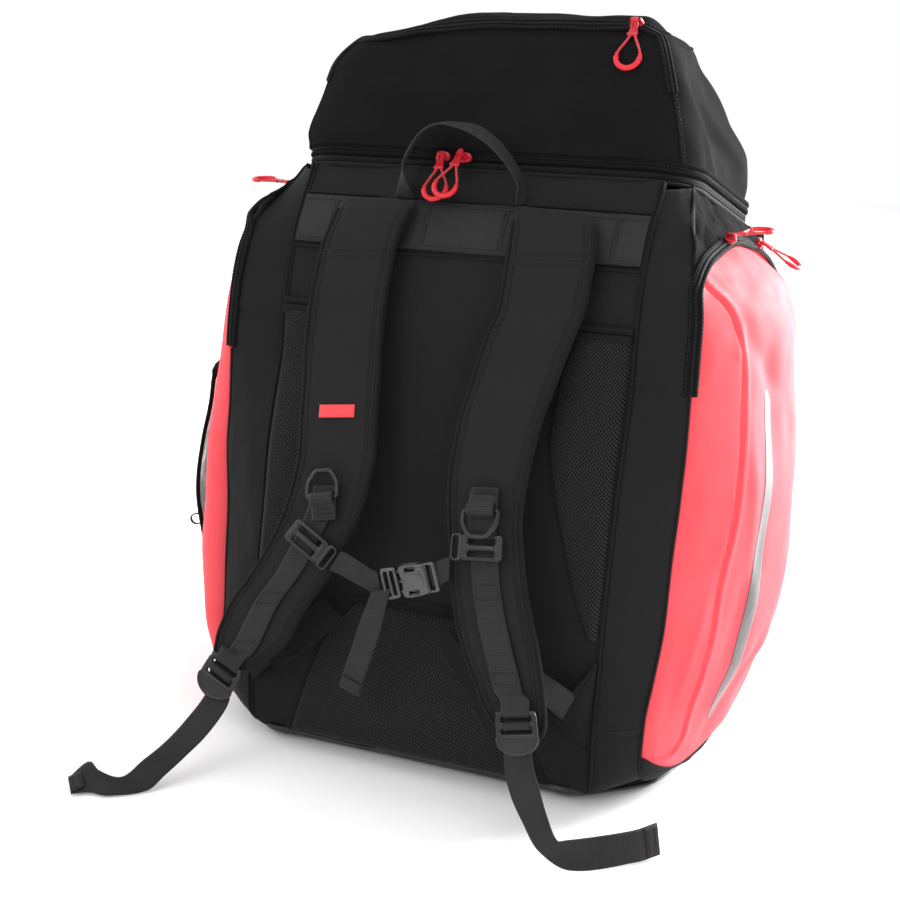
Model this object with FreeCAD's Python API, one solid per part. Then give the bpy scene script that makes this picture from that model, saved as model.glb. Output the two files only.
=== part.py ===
import FreeCAD, Part
import math
import os

V = FreeCAD.Vector

# ---------------------------------------------------------------------------
# Backpack-style ski boot bag.  +Z up, X across the back, the side that carries
# the shoulder straps faces -Y.  Origin: centre of the base, on the floor.
# All lengths in millimetres.
# ---------------------------------------------------------------------------
BACK_HALF_W = 167.5        # half width of the strap-side panel, to its piping
BACK_T = 6.0               # foam-backed strap-side panel
WALL_T = 3.0               # fabric wall with its lining
SKIN_T = 2.5               # boot pocket fabric
BASE_T = 6.0               # floor plate of the base
RIM_Z0 = 517.0             # rim height on the strap side
RIM_Y0 = -21.0
RIM_SLOPE = -0.3186        # the rim falls towards the far side
RIM_Y1 = 207.0
RIM_HALF_W = 190.0
RIM_R = 46.0
FLAP_Z = 345.0             # height of the fold of both boot pocket flaps
FLAP_X = 269.0             # x of that fold, on the outer skin
SKIN_BOTTOM = 45.0
ZIP_LIFT_LEFT = 22.0       # the left pocket is packed higher than the right one
LID_T = 3.0
STRAP_T = 12.0             # padded shoulder strap
WEB_T = 1.8                # webbing thickness
WEB_W = 25.0               # main webbing width
STERNUM_W = 20.0           # sternum webbing width
RING_R = 2.0               # radius of the D-ring bar
CORD_R = 1.1               # radius of a zip pull's cord
GRIP_R = 2.3               # radius of a zip pull's moulded end
DIVIDER_X = 130.0

# strap-side panel: height -> y of its outer face
PANEL = [(0, -171), (21, -171), (57, -170), (110, -159), (171, -147), (220, -135),
         (268, -124), (308, -110), (354, -93), (397, -85), (411, -81), (441, -71),
         (457, -64), (483, -47), (504, -30), (517, -21), (540, -15)]
# front seam of the boot pockets: height -> (x, y)
SEAM_X = [(0, 196), (20, 203), (45, 205), (80, 207), (113, 210), (159, 214), (208, 215),
          (265, 218), (345, 219), (408, 218), (441, 214)]
SEAM_Y = [(0, -112), (20, -140), (45, -152), (80, -151), (113, -140), (159, -128), (208, -119),
          (265, -111), (301, -103), (329, -99), (353, -96), (382, -91), (408, -85), (441, -77), (463, -62)]
# far panel: height -> y
FAR_Y = [(0, 158), (20, 172), (45, 180), (110, 192), (200, 200), (300, 203), (400, 200), (460, 197)]
# outward bulge of the boot pockets: height -> extra x
BULGE = [(0, 0), (20, 20), (45, 36), (60, 41), (110, 50), (170, 54), (230, 55), (290, 54), (360, 53)]
# top line of the boot pockets' zips: y -> z
ZIP_TOP = [(-100, 430), (-77, 441), (-40, 456), (23, 460), (90, 448), (157, 427), (200, 404)]


def itp(tab, x):
    if x <= tab[0][0]:
        return float(tab[0][1])
    for (a, p), (b, q) in zip(tab, tab[1:]):
        if x <= b:
            return p + (q - p) * (x - a) / float(b - a)
    return float(tab[-1][1])


def panel_y(z):
    return itp(PANEL, z)


def rim_z(y):
    return RIM_Z0 + RIM_SLOPE * (y - RIM_Y0)


# ---- solids from point grids ------------------------------------------------
def poly(verts, tris):
    s = Part.Shape()
    s.makeShapeFromMesh((verts, tris), 0.0005)
    sol = Part.makeSolid(s)
    if sol.Volume < 0:
        sol.reverse()
    return sol


def quads(tris, a, b, c, d):
    tris.append((a, b, c))
    tris.append((a, c, d))


def normals(rows):
    n, m = len(rows), len(rows[0])
    out = []
    for i in range(n):
        r = []
        for j in range(m):
            du = rows[min(i + 1, n - 1)][j].sub(rows[max(i - 1, 0)][j])
            dv = rows[i][min(j + 1, m - 1)].sub(rows[i][max(j - 1, 0)])
            k = du.cross(dv)
            k.normalize()
            r.append(k)
        out.append(r)
    return out


def sheet(rows, t, toward):
    """Closed solid from an open grid: the grid is the outer face, and the
    inner one is offset by t to the side where the vector `toward` points."""
    nn = normals(rows)
    mid = nn[len(rows) // 2][len(rows[0]) // 2]
    sgn = 1.0 if mid.dot(toward) > 0 else -1.0
    inner = [[p.add(V(k).multiply(sgn * t)) for p, k in zip(a, b)] for a, b in zip(rows, nn)]
    return two_faced(rows, inner)


def two_faced(rows, inner):
    n, m = len(rows), len(rows[0])
    verts = [p for r in rows for p in r] + [p for r in inner for p in r]
    o = n * m
    t = []
    for i in range(n - 1):
        for j in range(m - 1):
            a, b, c, d = i * m + j, i * m + j + 1, (i + 1) * m + j + 1, (i + 1) * m + j
            quads(t, a, b, c, d)
            quads(t, o + a, o + d, o + c, o + b)
    for j in range(m - 1):
        quads(t, j + 1, j, o + j, o + j + 1)
        k = (n - 1) * m + j
        quads(t, k, k + 1, o + k + 1, o + k)
    for i in range(n - 1):
        a, b = i * m, (i + 1) * m
        quads(t, a, b, o + b, o + a)
        a, b = i * m + m - 1, (i + 1) * m + m - 1
        quads(t, b, a, o + a, o + b)
    return poly(verts, t)


def ring_wall(lower, upper, lower_in, upper_in):
    """Closed band: outer wall lower-upper, inner wall lower_in-upper_in."""
    m = len(lower)
    verts = lower + upper + lower_in + upper_in
    t = []
    for j in range(m):
        k = (j + 1) % m
        quads(t, j, k, m + k, m + j)
        quads(t, 2 * m + j, 3 * m + j, 3 * m + k, 2 * m + k)
        quads(t, m + j, m + k, 3 * m + k, 3 * m + j)
        quads(t, k, j, 2 * m + j, 2 * m + k)
    return poly(verts, t)


def dome(outer, inner):
    """Closed shell from rings: open at the first ring, capped at the last."""
    m, n = len(outer[0]), len(outer)
    verts, t = [], []
    for rings in (outer, inner):
        for r in rings:
            verts += r
        c = V(0, 0, 0)
        for p in rings[-1]:
            c = c.add(p)
        verts.append(c.multiply(1.0 / m))
    o = n * m + 1
    for i in range(n - 1):
        for j in range(m):
            k = (j + 1) % m
            a, b, c, d = i * m + j, i * m + k, (i + 1) * m + k, (i + 1) * m + j
            quads(t, a, b, c, d)
            quads(t, o + a, o + d, o + c, o + b)
    for j in range(m):
        k = (j + 1) % m
        t.append(((n - 1) * m + j, (n - 1) * m + k, n * m))
        t.append((o + (n - 1) * m + k, o + (n - 1) * m + j, o + n * m))
        quads(t, k, j, o + j, o + k)
    return poly(verts, t)


def section(yf, zf, yr, zr, w, r, inset=0.0, up=0.0):
    """Rounded rectangle across the bag, on the plane through the front edge
    (yf, zf) and the rear edge (yr, zr); 6 points to a corner."""
    d = math.hypot(yr - yf, zr - zf)
    ey, ez = (yr - yf) / d, (zr - zf) / d
    w, r0, r1 = w - inset, inset, d - inset
    r = max(r - inset, 2.0)
    pts = []
    for cx, cs, a0 in ((w - r, r0 + r, -90), (w - r, r1 - r, 0), (-w + r, r1 - r, 90), (-w + r, r0 + r, 180)):
        for i in range(6):
            a = math.radians(a0 + 90 * i / 5.0)
            u, s = cx + r * math.cos(a), cs + r * math.sin(a)
            pts.append(V(u, yf + ey * s - ez * up, zf + ez * s + ey * up))
    return pts


def mirror(shape):
    return shape.mirror(V(0, 0, 0), V(1, 0, 0))


def frame(origin, x, y):
    """Placement with local X along x, local Y near y, local Z = X x Y."""
    x = V(*x)
    x.normalize()
    z = x.cross(V(*y))
    z.normalize()
    y = z.cross(x)
    m = FreeCAD.Matrix(x.x, y.x, z.x, origin[0], x.y, y.y, z.y, origin[1], x.z, y.z, z.z, origin[2], 0, 0, 0, 1)
    return FreeCAD.Placement(m)


def put(shape, pl):
    s = shape.copy()
    s.Placement = pl.multiply(s.Placement)
    return s


def rrect(w, h, r, z0, t, cx=0.0, cy=0.0):
    """Rounded plate w x h x t centred on (cx, cy), from z0 up."""
    b = Part.makeBox(w, h, t, V(cx - w / 2.0, cy - h / 2.0, z0))
    e = [k for k in b.Edges if abs(k.Vertexes[0].Point.x - k.Vertexes[1].Point.x) < 1e-6
         and abs(k.Vertexes[0].Point.y - k.Vertexes[1].Point.y) < 1e-6]
    return b.makeFillet(r, e)


def tube(points, r, f=0.45):
    """Round cord through points: straight runs joined by tangent arcs."""
    P = [V(*p) for p in points]
    edges, radii = [], []
    start = P[0]
    for i in range(1, len(P) - 1):
        a, b, c = P[i - 1], P[i], P[i + 1]
        u, v = a.sub(b), c.sub(b)
        lu, lv = u.Length, v.Length
        u.normalize()
        v.normalize()
        turn = math.pi - u.getAngle(v)
        cut = f * min(lu, lv)
        rad = cut / math.tan(turn / 2.0)
        p0, p1 = b.add(V(u).multiply(cut)), b.add(V(v).multiply(cut))
        w = V(u).add(v)
        w.normalize()
        centre = b.add(V(w).multiply(rad / math.cos(turn / 2.0)))
        mid = centre.sub(V(w).multiply(rad))
        edges.append(Part.LineSegment(start, p0).toShape())
        edges.append(Part.Arc(p0, mid, p1).toShape())
        radii.append(rad)
        start = p1
    edges.append(Part.LineSegment(start, P[-1]).toShape())
    wire = Part.Wire(edges)
    d = P[1].sub(P[0])
    circ = Part.Wire([Part.Circle(P[0], d, r).toShape()])
    sol = wire.makePipeShell([circ], True, False)
    ratio = sol.Volume / (math.pi * r * r * wire.Length)
    print("cord radius %.1f  length %.1f  volume ratio %.3f  bend radii %s" % (
        r, wire.Length, ratio, " ".join("%.1f" % q for q in radii)))
    return sol


OUT = {}


def node(name, shape):
    assert name not in OUT, name
    if not shape.isValid():
        print("INVALID", name)
    OUT[name] = shape


# ===========================================================================
# 1  walls of the bag
# ===========================================================================
foot = [V(-160, -158, 0), V(160, -158, 0), V(192, -132, 0), V(203, -100, 0), V(214, 0, 0),
        V(212, 90, 0), V(196, 152, 0), V(150, 170, 0), V(-150, 170, 0), V(-196, 152, 0),
        V(-212, 90, 0), V(-214, 0, 0), V(-203, -100, 0), V(-192, -132, 0)]
foot_top = [V(p.x * 1.03, p.y * 1.03, BASE_T) for p in foot]
node("base_tray", Part.makeLoft([Part.makePolygon(foot + [foot[0]]),
                                 Part.makePolygon(foot_top + [foot_top[0]])], True, True))

Z_ROWS = [BASE_T + 1, 21, 57, 110, 171, 220, 268, 308, 354, 397, 411, 441, 457, 483, 504, 515]
node("back_panel", sheet([[V(x, panel_y(z), z) for x in (-BACK_HALF_W, 0, BACK_HALF_W)] for z in Z_ROWS],
                         BACK_T, V(0, 1, 0)))


def gusset_edge(z, lift):
    if z <= 441 + lift:
        p = V(itp(SEAM_X, z), itp(SEAM_Y, z), z)
    else:
        y0 = itp(SEAM_Y, 441 + lift)
        k = (z - 441 - lift) / (67.0 - lift)
        p = V(212.4 - 26 * k, y0 + (5 - y0) * k, z)
    back = V(BACK_HALF_W + 3.6, panel_y(z) + 1.0, z).sub(p)
    gap = itp([(430, 3.2), (442, 5.5), (503, 6.5)], z)
    return p.add(back.multiply(gap / back.Length))


def gusset(lift):
    return sheet([[V(BACK_HALF_W + 3.6, panel_y(z) + 1.0, z), gusset_edge(z, lift)]
                  for z in [BASE_T + 1.5, 20, 45, 80, 113, 159, 208, 265, 301, 353, 397, 441, 457, 480, 503]],
                 WALL_T, V(0, 1, 0))


node("side_gusset_right", gusset(0))
node("side_gusset_left", mirror(gusset(ZIP_LIFT_LEFT)))

X_COLS = (-203, -150, -75, 0, 75, 150, 203)
node("front_panel", sheet([[V(x, itp(FAR_Y, z) + 2 + 10 * (1 - (x / 203.0) ** 2), z) for x in X_COLS]
                           for z in (BASE_T + 1, 20, 45, 110, 200, 300, 400, 441)], WALL_T, V(0, -1, 0)))


def divider_x(z):
    return itp([(0, DIVIDER_X), (300, DIVIDER_X), (380, DIVIDER_X + 20), (432, DIVIDER_X + 48)], z)


DIV_T = (0.0, 0.33, 0.66, 1.0)
div = sheet([[V(divider_x(z), (panel_y(z) + 10) * (1 - k) + (itp(FAR_Y, z) - 6) * k, z) for k in DIV_T]
             for z in (BASE_T + 1, 57, 171, 300, 380, 432)], 2.0, V(-1, 0, 0))
node("boot_dividers", Part.makeCompound([div, mirror(div)]))
fs = [[V(x, panel_y(z), z) for x in (-120, 0, 120)] for z in Z_ROWS]
fs = [[p.add(V(k).multiply((BACK_T + 0.8) * (1 if k.y > 0 else -1))) for p, k in zip(a, b)] for a, b in zip(fs, normals(fs))]
node("frame_sheet", sheet(fs[1:-2], 1.5, V(0, 1, 0)))


# ---- boot pockets: bulging side skins ---------------------------------------
T_COLS = (0.0, 0.06, 0.16, 0.3, 0.45, 0.6, 0.75, 0.88, 1.0)


def swell(t):
    return max(0.0, math.sin(math.pi * t)) ** 0.7


def skin_point(z, t, bulge=None, x0=None):
    ys, yf = itp(SEAM_Y, z), itp(FAR_Y, z) - 3
    x0 = itp(SEAM_X, z) if x0 is None else x0
    xe = x0 - 12 * t
    b = itp(BULGE, z) if bulge is None else bulge
    return V(xe + b * swell(t), ys + (yf - ys) * t, z)


base_side = sheet([[skin_point(z, t) for t in T_COLS] for z in (BASE_T + 1.5, 20, SKIN_BOTTOM - 1.5)],
                  SKIN_T, V(-1, 0, 0))
node("base_sides", Part.makeCompound([base_side, mirror(base_side)]))

low = sheet([[skin_point(z, t) for t in T_COLS] for z in (SKIN_BOTTOM, 80, 130, 190, 250, 300, FLAP_Z - 1.0)],
            SKIN_T, V(-1, 0, 0))
node("pocket_side_right", low)
node("pocket_side_left", mirror(low))


def flap_point(u, t, lift=0.0):
    b = itp([(0, 53), (0.25, 52), (0.5, 48), (0.7, 38), (0.85, 22), (0.95, 8), (1, 0)], u)
    z = FLAP_Z + 1.0
    p = skin_point(z, t)
    for _ in range(4):
        z = FLAP_Z + 1.0 + u * (itp(ZIP_TOP, p.y) + lift - FLAP_Z - 1.0)
        p = skin_point(z, t, b, itp(SEAM_X, z) + (2.0 * u))
    return V(max(p.x, 215.5 if u > 0.9 else p.x), p.y, z)


def flap(lift):
    return sheet([[flap_point(u, t, lift) for t in T_COLS] for u in (0, 0.25, 0.5, 0.7, 0.85, 0.95, 1.0)],
                 SKIN_T, V(-1, 0, 0))


node("pocket_flap_right", flap(0))
node("pocket_flap_left", mirror(flap(ZIP_LIFT_LEFT)))


def shoulder(u, v, lift):
    ya = itp(SEAM_Y, 441 + lift) + 3
    y0 = ya + (190 - ya) * u
    y1 = 6 + (190 - 6) * u
    b = V(212.6, y0, min(itp(ZIP_TOP, y0) + lift - 1.0, rim_z(y0) - 14))
    c = V(188.0, y1, rim_z(y1) - 2.0)
    p = V(b).multiply(1 - v).add(V(c).multiply(v))
    return V(p.x - 5 * math.sin(math.pi * v), p.y, p.z)


def shoulder_panel(lift):
    return sheet([[shoulder(u, v, lift) for v in (0, 0.5, 1)] for u in (0, 0.2, 0.4, 0.6, 0.8, 1.0)], WALL_T, V(-1, 0, 0))


node("pocket_shoulder_right", shoulder_panel(0))
node("pocket_shoulder_left", mirror(shoulder_panel(ZIP_LIFT_LEFT)))

# mesh side pocket on the left boot pocket: a sheet that stands off the skin
MESH_T = (0.08, 0.2, 0.35, 0.5, 0.65, 0.8)


def mesh_point(z, t):
    p = skin_point(z, t)
    out = 2.0 + 13.0 * math.sin(math.pi * (t - 0.06) / 0.78) * itp([(52, 0.08), (110, 0.75), (318, 1.0)], z)
    return V(p.x + max(out, 1.0), p.y - 6 * max(0, 0.3 - t) * 2, z)


node("mesh_pocket", mirror(sheet([[mesh_point(z, t) for t in MESH_T] for z in (52, 75, 110, 170, 240, 318)],
                                 1.2, V(-1, 0, 0))))

# ---- rim and hood -------------------------------------------------------------
RIM = (RIM_Y0, RIM_Z0, RIM_Y1, rim_z(RIM_Y1), RIM_HALF_W, RIM_R)
node("rim_zip_tape", ring_wall(section(*RIM, up=1.5), section(*RIM, up=6.5),
                               section(*RIM, inset=2.5, up=1.5), section(*RIM, inset=2.5, up=6.5)))
node("hood_hem", ring_wall(section(*RIM, up=8.0), section(*RIM, up=17.0),
                           section(*RIM, inset=3.5, up=8.0), section(*RIM, inset=3.5, up=17.0)))
HOOD = [(-21.5, 536, 210, 463, 189, 50), (-18, 565, 214, 498, 184, 48), (-8, 600, 206, 548, 176, 40),
        (6, 628, 186, 596, 165, 30), (26, 645, 158, 630, 152, 22), (52, 652, 128, 648, 118, 20)]
outer = [section(*h) for h in HOOD]
inner = [section(*h, inset=LID_T, up=(-1.5 if i == 5 else (-1.0 if i else 0))) for i, h in enumerate(HOOD)]
node("hood_shell", dome(outer, inner))

# ===========================================================================
# 2  strap-side panel: pads, bands, loops
# ===========================================================================
PAD_T = 7.0


def on_panel(pts, t, gap=0.4):
    """Flat pad on the strap-side panel: rows of (x_left, x_right, z)."""
    zs = sorted(set([p[2] for p in pts] + [z for z in Z_ROWS if pts[0][2] < z < pts[-1][2]]))
    ta, tb = [(p[2], p[0]) for p in pts], [(p[2], p[1]) for p in pts]
    pts = [(itp(ta, z), itp(tb, z), z) for z in zs]
    rows = [[V(a, panel_y(z) - gap - t, z), V(b, panel_y(z) - gap - t, z)] for a, b, z in pts]
    inner = [[V(a, panel_y(z) - gap, z), V(b, panel_y(z) - gap, z)] for a, b, z in pts]
    return two_faced(rows, inner)


mp = on_panel([(158, 164, 146), (146, 165, 171), (128, 165, 220), (113, 165, 268), (104, 165, 308),
               (106, 165, 354), (118, 165, 392)], PAD_T)
node("mesh_pads", Part.makeCompound([mp, mirror(mp)]))
node("lumbar_pad", on_panel([(-124, 124, 15), (-116, 116, 40), (-104, 104, 75), (-90, 90, 110), (-62, 62, 145)], 8.0))
node("anchor_band", on_panel([(-164, 164, 449), (-164, 164, 457), (-164, 164, 470), (-164, 164, 488)], 1.6))

# padded shoulder straps: left and right edge of the outer face, top to bottom
STRAP_LEFT = [((-122, -60, 490), (-48, -60, 492)), ((-128, -87, 451), (-55, -85, 459)),
              ((-129, -109, 405), (-55, -107, 411)), ((-128, -121, 371), (-54, -118, 378)),
              ((-123, -135, 338), (-50, -131, 345)), ((-118, -151, 306), (-45, -147, 314)),
              ((-113, -167, 274), (-40, -163, 282)), ((-117, -180, 239), (-43, -177, 249)),
              ((-128, -194, 204), (-54, -189, 214)), ((-142, -204, 176), (-65, -200, 187)),
              ((-159, -214, 148), (-82, -210, 160)), ((-168, -224, 118), (-99, -222, 124)),
              ((-160, -229, 103), (-120, -229, 104))]
STRAP_RIGHT = [((46, -60, 493), (120, -62, 489)), ((50, -86, 452), (128, -84, 457)),
               ((51, -102, 419), (128, -100, 425)), ((43, -116, 386), (121, -113, 394)),
               ((36, -127, 353), (112, -124, 361)), ((32, -143, 322), (105, -139, 330)),
               ((31, -158, 291), (102, -154, 299)), ((34, -170, 265), (101, -166, 273)),
               ((39, -180, 240), (103, -177, 248)), ((44, -188, 218), (108, -185, 227)),
               ((50, -198, 191), (115, -194, 201)), ((58, -207, 168), (124, -203, 178)),
               ((68, -215, 146), (133, -211, 156)), ((80, -221, 125), (140, -218, 134)),
               ((91, -228, 107), (144, -225, 115))]


def strap(st, t):
    return sheet([[V(*a), V(*b)] for a, b in st], t, V(0, 1, 0))


node("shoulder_strap_left", strap(STRAP_LEFT, STRAP_T))
node("shoulder_strap_right", strap(STRAP_RIGHT, STRAP_T))


def lerp(a, b, k):
    return V(*a).multiply(1 - k).add(V(*b).multiply(k))


def centre_strip(st, i0, i1, w, lift, t, x_shift=0.0):
    """Webbing of width w laid on a strap's outer face, from station i0 to i1."""
    rows = []
    n = int(math.ceil(i1 - i0)) + 1
    nn = normals([[V(*a), V(*b)] for a, b in st])
    for k in range(n):
        f = i0 + (i1 - i0) * k / float(n - 1)
        i = min(int(f), len(st) - 2)
        g = f - i
        a, b = lerp(st[i][0], st[i + 1][0], g), lerp(st[i][1], st[i + 1][1], g)
        c = a.add(b).multiply(0.5).add(V(x_shift, 0, 0))
        d = b.sub(a)
        d.normalize()
        nv = V(nn[i][0])
        if nv.y > 0:
            nv = nv.multiply(-1)
        c = c.add(nv.multiply(lift + t))
        rows.append([c.sub(V(d).multiply(w / 2.0)), c.add(V(d).multiply(w / 2.0))])
    return sheet(rows, t, V(0, 1, 0))


node("strap_rails", Part.makeCompound([centre_strip(STRAP_LEFT, 6.6, 11.8, WEB_W, 0.4, WEB_T),
                                       centre_strip(STRAP_RIGHT, 6.9, 13.6, WEB_W, 0.4, WEB_T)]))

# ---- D-rings in webbing loops --------------------------------------------------
D_L = ((-77, -180.5, 249), (0.98, -0.02, 0.20), (-0.18, 0.42, 0.88))     # pivot, bar axis, up the strap
D_R = ((71, -178.0, 257), (0.99, 0.05, 0.09), (-0.08, 0.44, 0.89))


def d_outline(w, h, r):
    """D: straight bar along X at y = 0, round end towards +Y."""
    a = w / 2.0
    pts = [V(-a, 0, 0), V(a, 0, 0), V(a, h - r, 0), V(a - r * 0.9, h, 0), V(-a + r * 0.9, h, 0), V(-a, h - r, 0)]
    return Part.Wire(Part.makePolygon(pts + [pts[0]]).Edges)


def d_ring():
    a, h = 15.0, 23.0
    pts = [(-a, 0), (a, 0), (a, 12), (7.5, h), (-7.5, h), (-a, 12)]
    s = None
    for i, p in enumerate(pts):
        q = pts[(i + 1) % len(pts)]
        d = V(q[0] - p[0], q[1] - p[1], 0)
        c = Part.makeCylinder(RING_R, d.Length, V(p[0], p[1], 0), d)
        b = Part.makeSphere(RING_R, V(p[0], p[1], 0))
        s = c.fuse(b) if s is None else s.fuse(c).fuse(b)
    return s.removeSplitter()


def d_loop(tail_dir):
    """Webbing folded round the bar: a rolled loop with a tail towards tail_dir * Y."""
    o = Part.makeCylinder(RING_R + 0.7 + 1.6, 24.0, V(-12, 0, 0), V(1, 0, 0))
    o = o.cut(Part.makeCylinder(RING_R + 0.7, 26.0, V(-13, 0, 0), V(1, 0, 0)))
    y0 = 3.0 if tail_dir > 0 else -3.0 - 20.0
    tail = Part.makeBox(24.0, 20.0 + 3.0, 1.8, V(-12, y0 if tail_dir > 0 else y0 - 0.0, -4.3))
    tail = tail.cut(Part.makeCylinder(RING_R + 0.7, 26.0, V(-13, 0, 0), V(1, 0, 0)))
    return o.fuse(tail).removeSplitter()


f_l, f_r = frame(*D_L), frame(*D_R)
lift = FreeCAD.Placement(V(0, 0, 5.2), FreeCAD.Rotation())
node("d_ring_left", put(d_ring(), f_l.multiply(lift)))
flip = FreeCAD.Placement(V(0, 0, 5.2), FreeCAD.Rotation(V(1, 0, 0), 168))
node("d_ring_right", put(d_ring(), f_r.multiply(flip)))
node("d_ring_loops", Part.makeCompound([put(d_loop(-1), f_l.multiply(lift)), put(d_loop(1), f_r.multiply(lift))]))


# ---- sternum strap ---------------------------------------------------------------
def slide_frame():
    """Sliding frame on the webbing rail, with a side loop for the sternum webbing."""
    s = rrect(37, 22, 3.5, 0, 4.0)
    s = s.cut(Part.makeBox(24, 5.2, 6, V(-12, 2.6, -1))).cut(Part.makeBox(24, 5.2, 6, V(-12, -7.8, -1)))
    return s


SL_L = ((-86, -196.0, 213), (0.85, -0.05, -0.52), (0.48, 0.36, 0.80))
SL_R = ((76, -189.5, 229), (0.99, 0.02, 0.10), (-0.10, 0.40, 0.91))
lf = FreeCAD.Placement(V(0, 0, 3.6), FreeCAD.Rotation())
side_l = Part.makeBox(9, 23, 3.0, V(19.0, -11.5, 0)).cut(Part.makeBox(4.4, 20.6, 4, V(20.6, -10.3, -0.5)))
side_r = Part.makeBox(9, 23, 3.0, V(-28.0, -11.5, 0)).cut(Part.makeBox(4.4, 20.6, 4, V(-25.0, -10.3, -0.5)))
node("sternum_sliders", Part.makeCompound([put(slide_frame().fuse(side_l).removeSplitter(), frame(*SL_L).multiply(lf)),
                                           put(slide_frame().fuse(side_r).removeSplitter(), frame(*SL_R).multiply(lf))]))

# side-release buckle: local X from the plug half to the socket half
BK = (8, -208.0, 195)
BK_X = (0.96, 0.10, 0.26)
BK_Y = (-0.26, 0.05, 0.97)
bk = frame(BK, BK_X, BK_Y)          # local Z faces the viewer side when X x Y points to -Y
if bk.multVec(V(0, 0, 1)).sub(bk.multVec(V(0, 0, 0))).y > 0:
    bk = frame(BK, BK_X, tuple(-q for q in BK_Y))
socket = rrect(24, 28, 4, -5, 10, 14, 0)
socket = socket.cut(Part.makeBox(21, 22.4, 6.4, V(1, -11.2, -3.2)))
socket = socket.cut(Part.makeBox(9, 40, 5.6, V(7, -20, -2.8)))
web_bar = rrect(9, 26, 2, -3, 6, 29.5, 0).cut(Part.makeBox(4, 21, 8, V(27.8, -10.5, -4)))
node("buckle_socket", put(socket.fuse(web_bar).removeSplitter(), bk))
plug = rrect(15, 28, 3, -3.5, 7, -7.8, 0).cut(Part.makeBox(3.2, 21, 9, V(-12.6, -10.5, -4.5)))
plug = plug.cut(Part.makeBox(3.2, 21, 9, V(-7.0, -10.5, -4.5)))
prongs = Part.makeBox(18, 3.2, 4.4, V(-0.4, -10.4, -2.2)).fuse(Part.makeBox(18, 3.2, 4.4, V(-0.4, 7.2, -2.2)))
prongs = prongs.fuse(Part.makeBox(13, 3.0, 4.4, V(-0.4, -1.5, -2.2)))
node("buckle_plug", put(plug.fuse(prongs).removeSplitter(), bk))


def webstrip(pts, w, t, wdir, toward):
    rows = []
    for p, d in zip(pts, wdir):
        d = V(*d)
        d.normalize()
        d.multiply(w / 2.0)
        rows.append([V(*p).sub(d), V(*p).add(d)])
    return sheet(rows, t, V(*toward))


sw_l = webstrip([(-57.0, -202.3, 201.4), (-50, -203, 200), (-34, -205, 195), (-21, -205.5, 190)],
                                      STERNUM_W, WEB_T, [(0.45, 0.25, 0.85), (0.4, 0.15, 0.9), (0.1, 0.1, 0.98), (0.0, 0, 1)], (0, 1, 0))
sw_r = webstrip([(41, -203.2, 206), (43.5, -201.8, 208), (46, -200.2, 210)],
                                       STERNUM_W, WEB_T, [(-0.26, 0.05, 0.97), (-0.2, 0.2, 0.97), (-0.1, 0.35, 0.93)], (0, 1, 0))
node("sternum_webbing", Part.makeCompound([sw_l, sw_r]))
node("sternum_tail", webstrip([(-11, -215.5, 174), (-18, -216, 150), (-27, -214, 125), (-36, -211, 103), (-42, -209, 83)],
                              STERNUM_W, WEB_T, [(0.96, 0, 0.25), (0.95, 0, -0.3), (0.93, 0, -0.35), (0.93, 0, -0.35), (0.95, 0, -0.3)], (0, 1, 0)))


# ---- strap adjusters (ladder locks), lower webbing and loose tails ------------------
def ladder_lock():
    """Local X across, local Y up the strap, local Z outward."""
    s = rrect(35, 30, 4, -2.0, 5.0, 0, 3)
    lip = Part.makeCylinder(17.5, 4.0, V(0, -4, -1.0)).common(Part.makeBox(40, 18, 10, V(-20, -22.0, -5)))
    s = s.fuse(lip)
    s = s.cut(Part.makeBox(26.4, 5.0, 12, V(-13.2, 9.0, -6))).cut(Part.makeBox(26.4, 5.0, 12, V(-13.2, -0.5, -6)))
    return s.removeSplitter()


LL = ((-157, -237.5, 86), (0.90, -0.06, -0.42), (0.36, 0.36, 0.86))
LR = ((128, -236.5, 89), (0.98, 0.08, 0.20), (-0.26, 0.30, 0.92))
node("strap_adjusters", Part.makeCompound([put(ladder_lock(), frame(*LL)), put(ladder_lock(), frame(*LR))]))

TAIL_L = [((-169, -242, 72), (-146, -242, 66)), ((-181, -258, 50), (-158, -257, 42)),
          ((-191, -278, 35), (-170, -276, 26)), ((-201, -295, 25), (-181, -293, 13)),
          ((-213, -312, 14), (-191, -306, 2.6)), ((-233, -319, 20), (-218, -327, 2.2)),
          ((-248, -312, 21), (-235, -330, 3)), ((-259, -327, 10), (-248, -338, 3))]
TAIL_R = [((118, -242, 63), (142, -239, 69)), ((128, -252, 44), (153, -251, 53)),
          ((142, -263, 31), (164, -262, 38)), ((162, -275, 14), (177, -273, 26)),
          ((188, -273, 2.2), (184, -267, 25)), ((233, -239, 2.2), (226, -231, 25)),
          ((246, -220, 2.2), (240, -212, 25.5))]
node("strap_tails", Part.makeCompound([strap(TAIL_L, WEB_T), strap(TAIL_R, WEB_T)]))

# lower webbing from each adjuster back to the bag's lower corner, and its sewn wing
lw_r = strap([((128, -226, 92), (142, -226, 104)), ((140, -205, 94), (152, -205, 112)),
                                   ((150, -188, 92), (158, -186, 112))], WEB_T)
lw_l = strap([((-158, -226, 88), (-138, -226, 84)), ((-163, -205, 90), (-148, -205, 78)),
                                  ((-166, -190, 90), (-154, -190, 72))], WEB_T)
node("lower_webbings", Part.makeCompound([lw_l, lw_r]))
wing = sheet([[V(166, panel_y(z) - 1.0, z), V(a, y, z)] for z, a, y in ((72, 158, -178), (92, 150, -186), (112, 150, -186), (134, 162, -164))],
             2.0, V(1, -1, 0))
node("anchor_wings", Part.makeCompound([wing, mirror(wing)]))
wg_r = strap([((28, -178, 128), (40, -178, 144)), ((56, -188, 96), (76, -186, 114)),
                                 ((86, -200, 62), (106, -199, 78))], 3.0)
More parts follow.
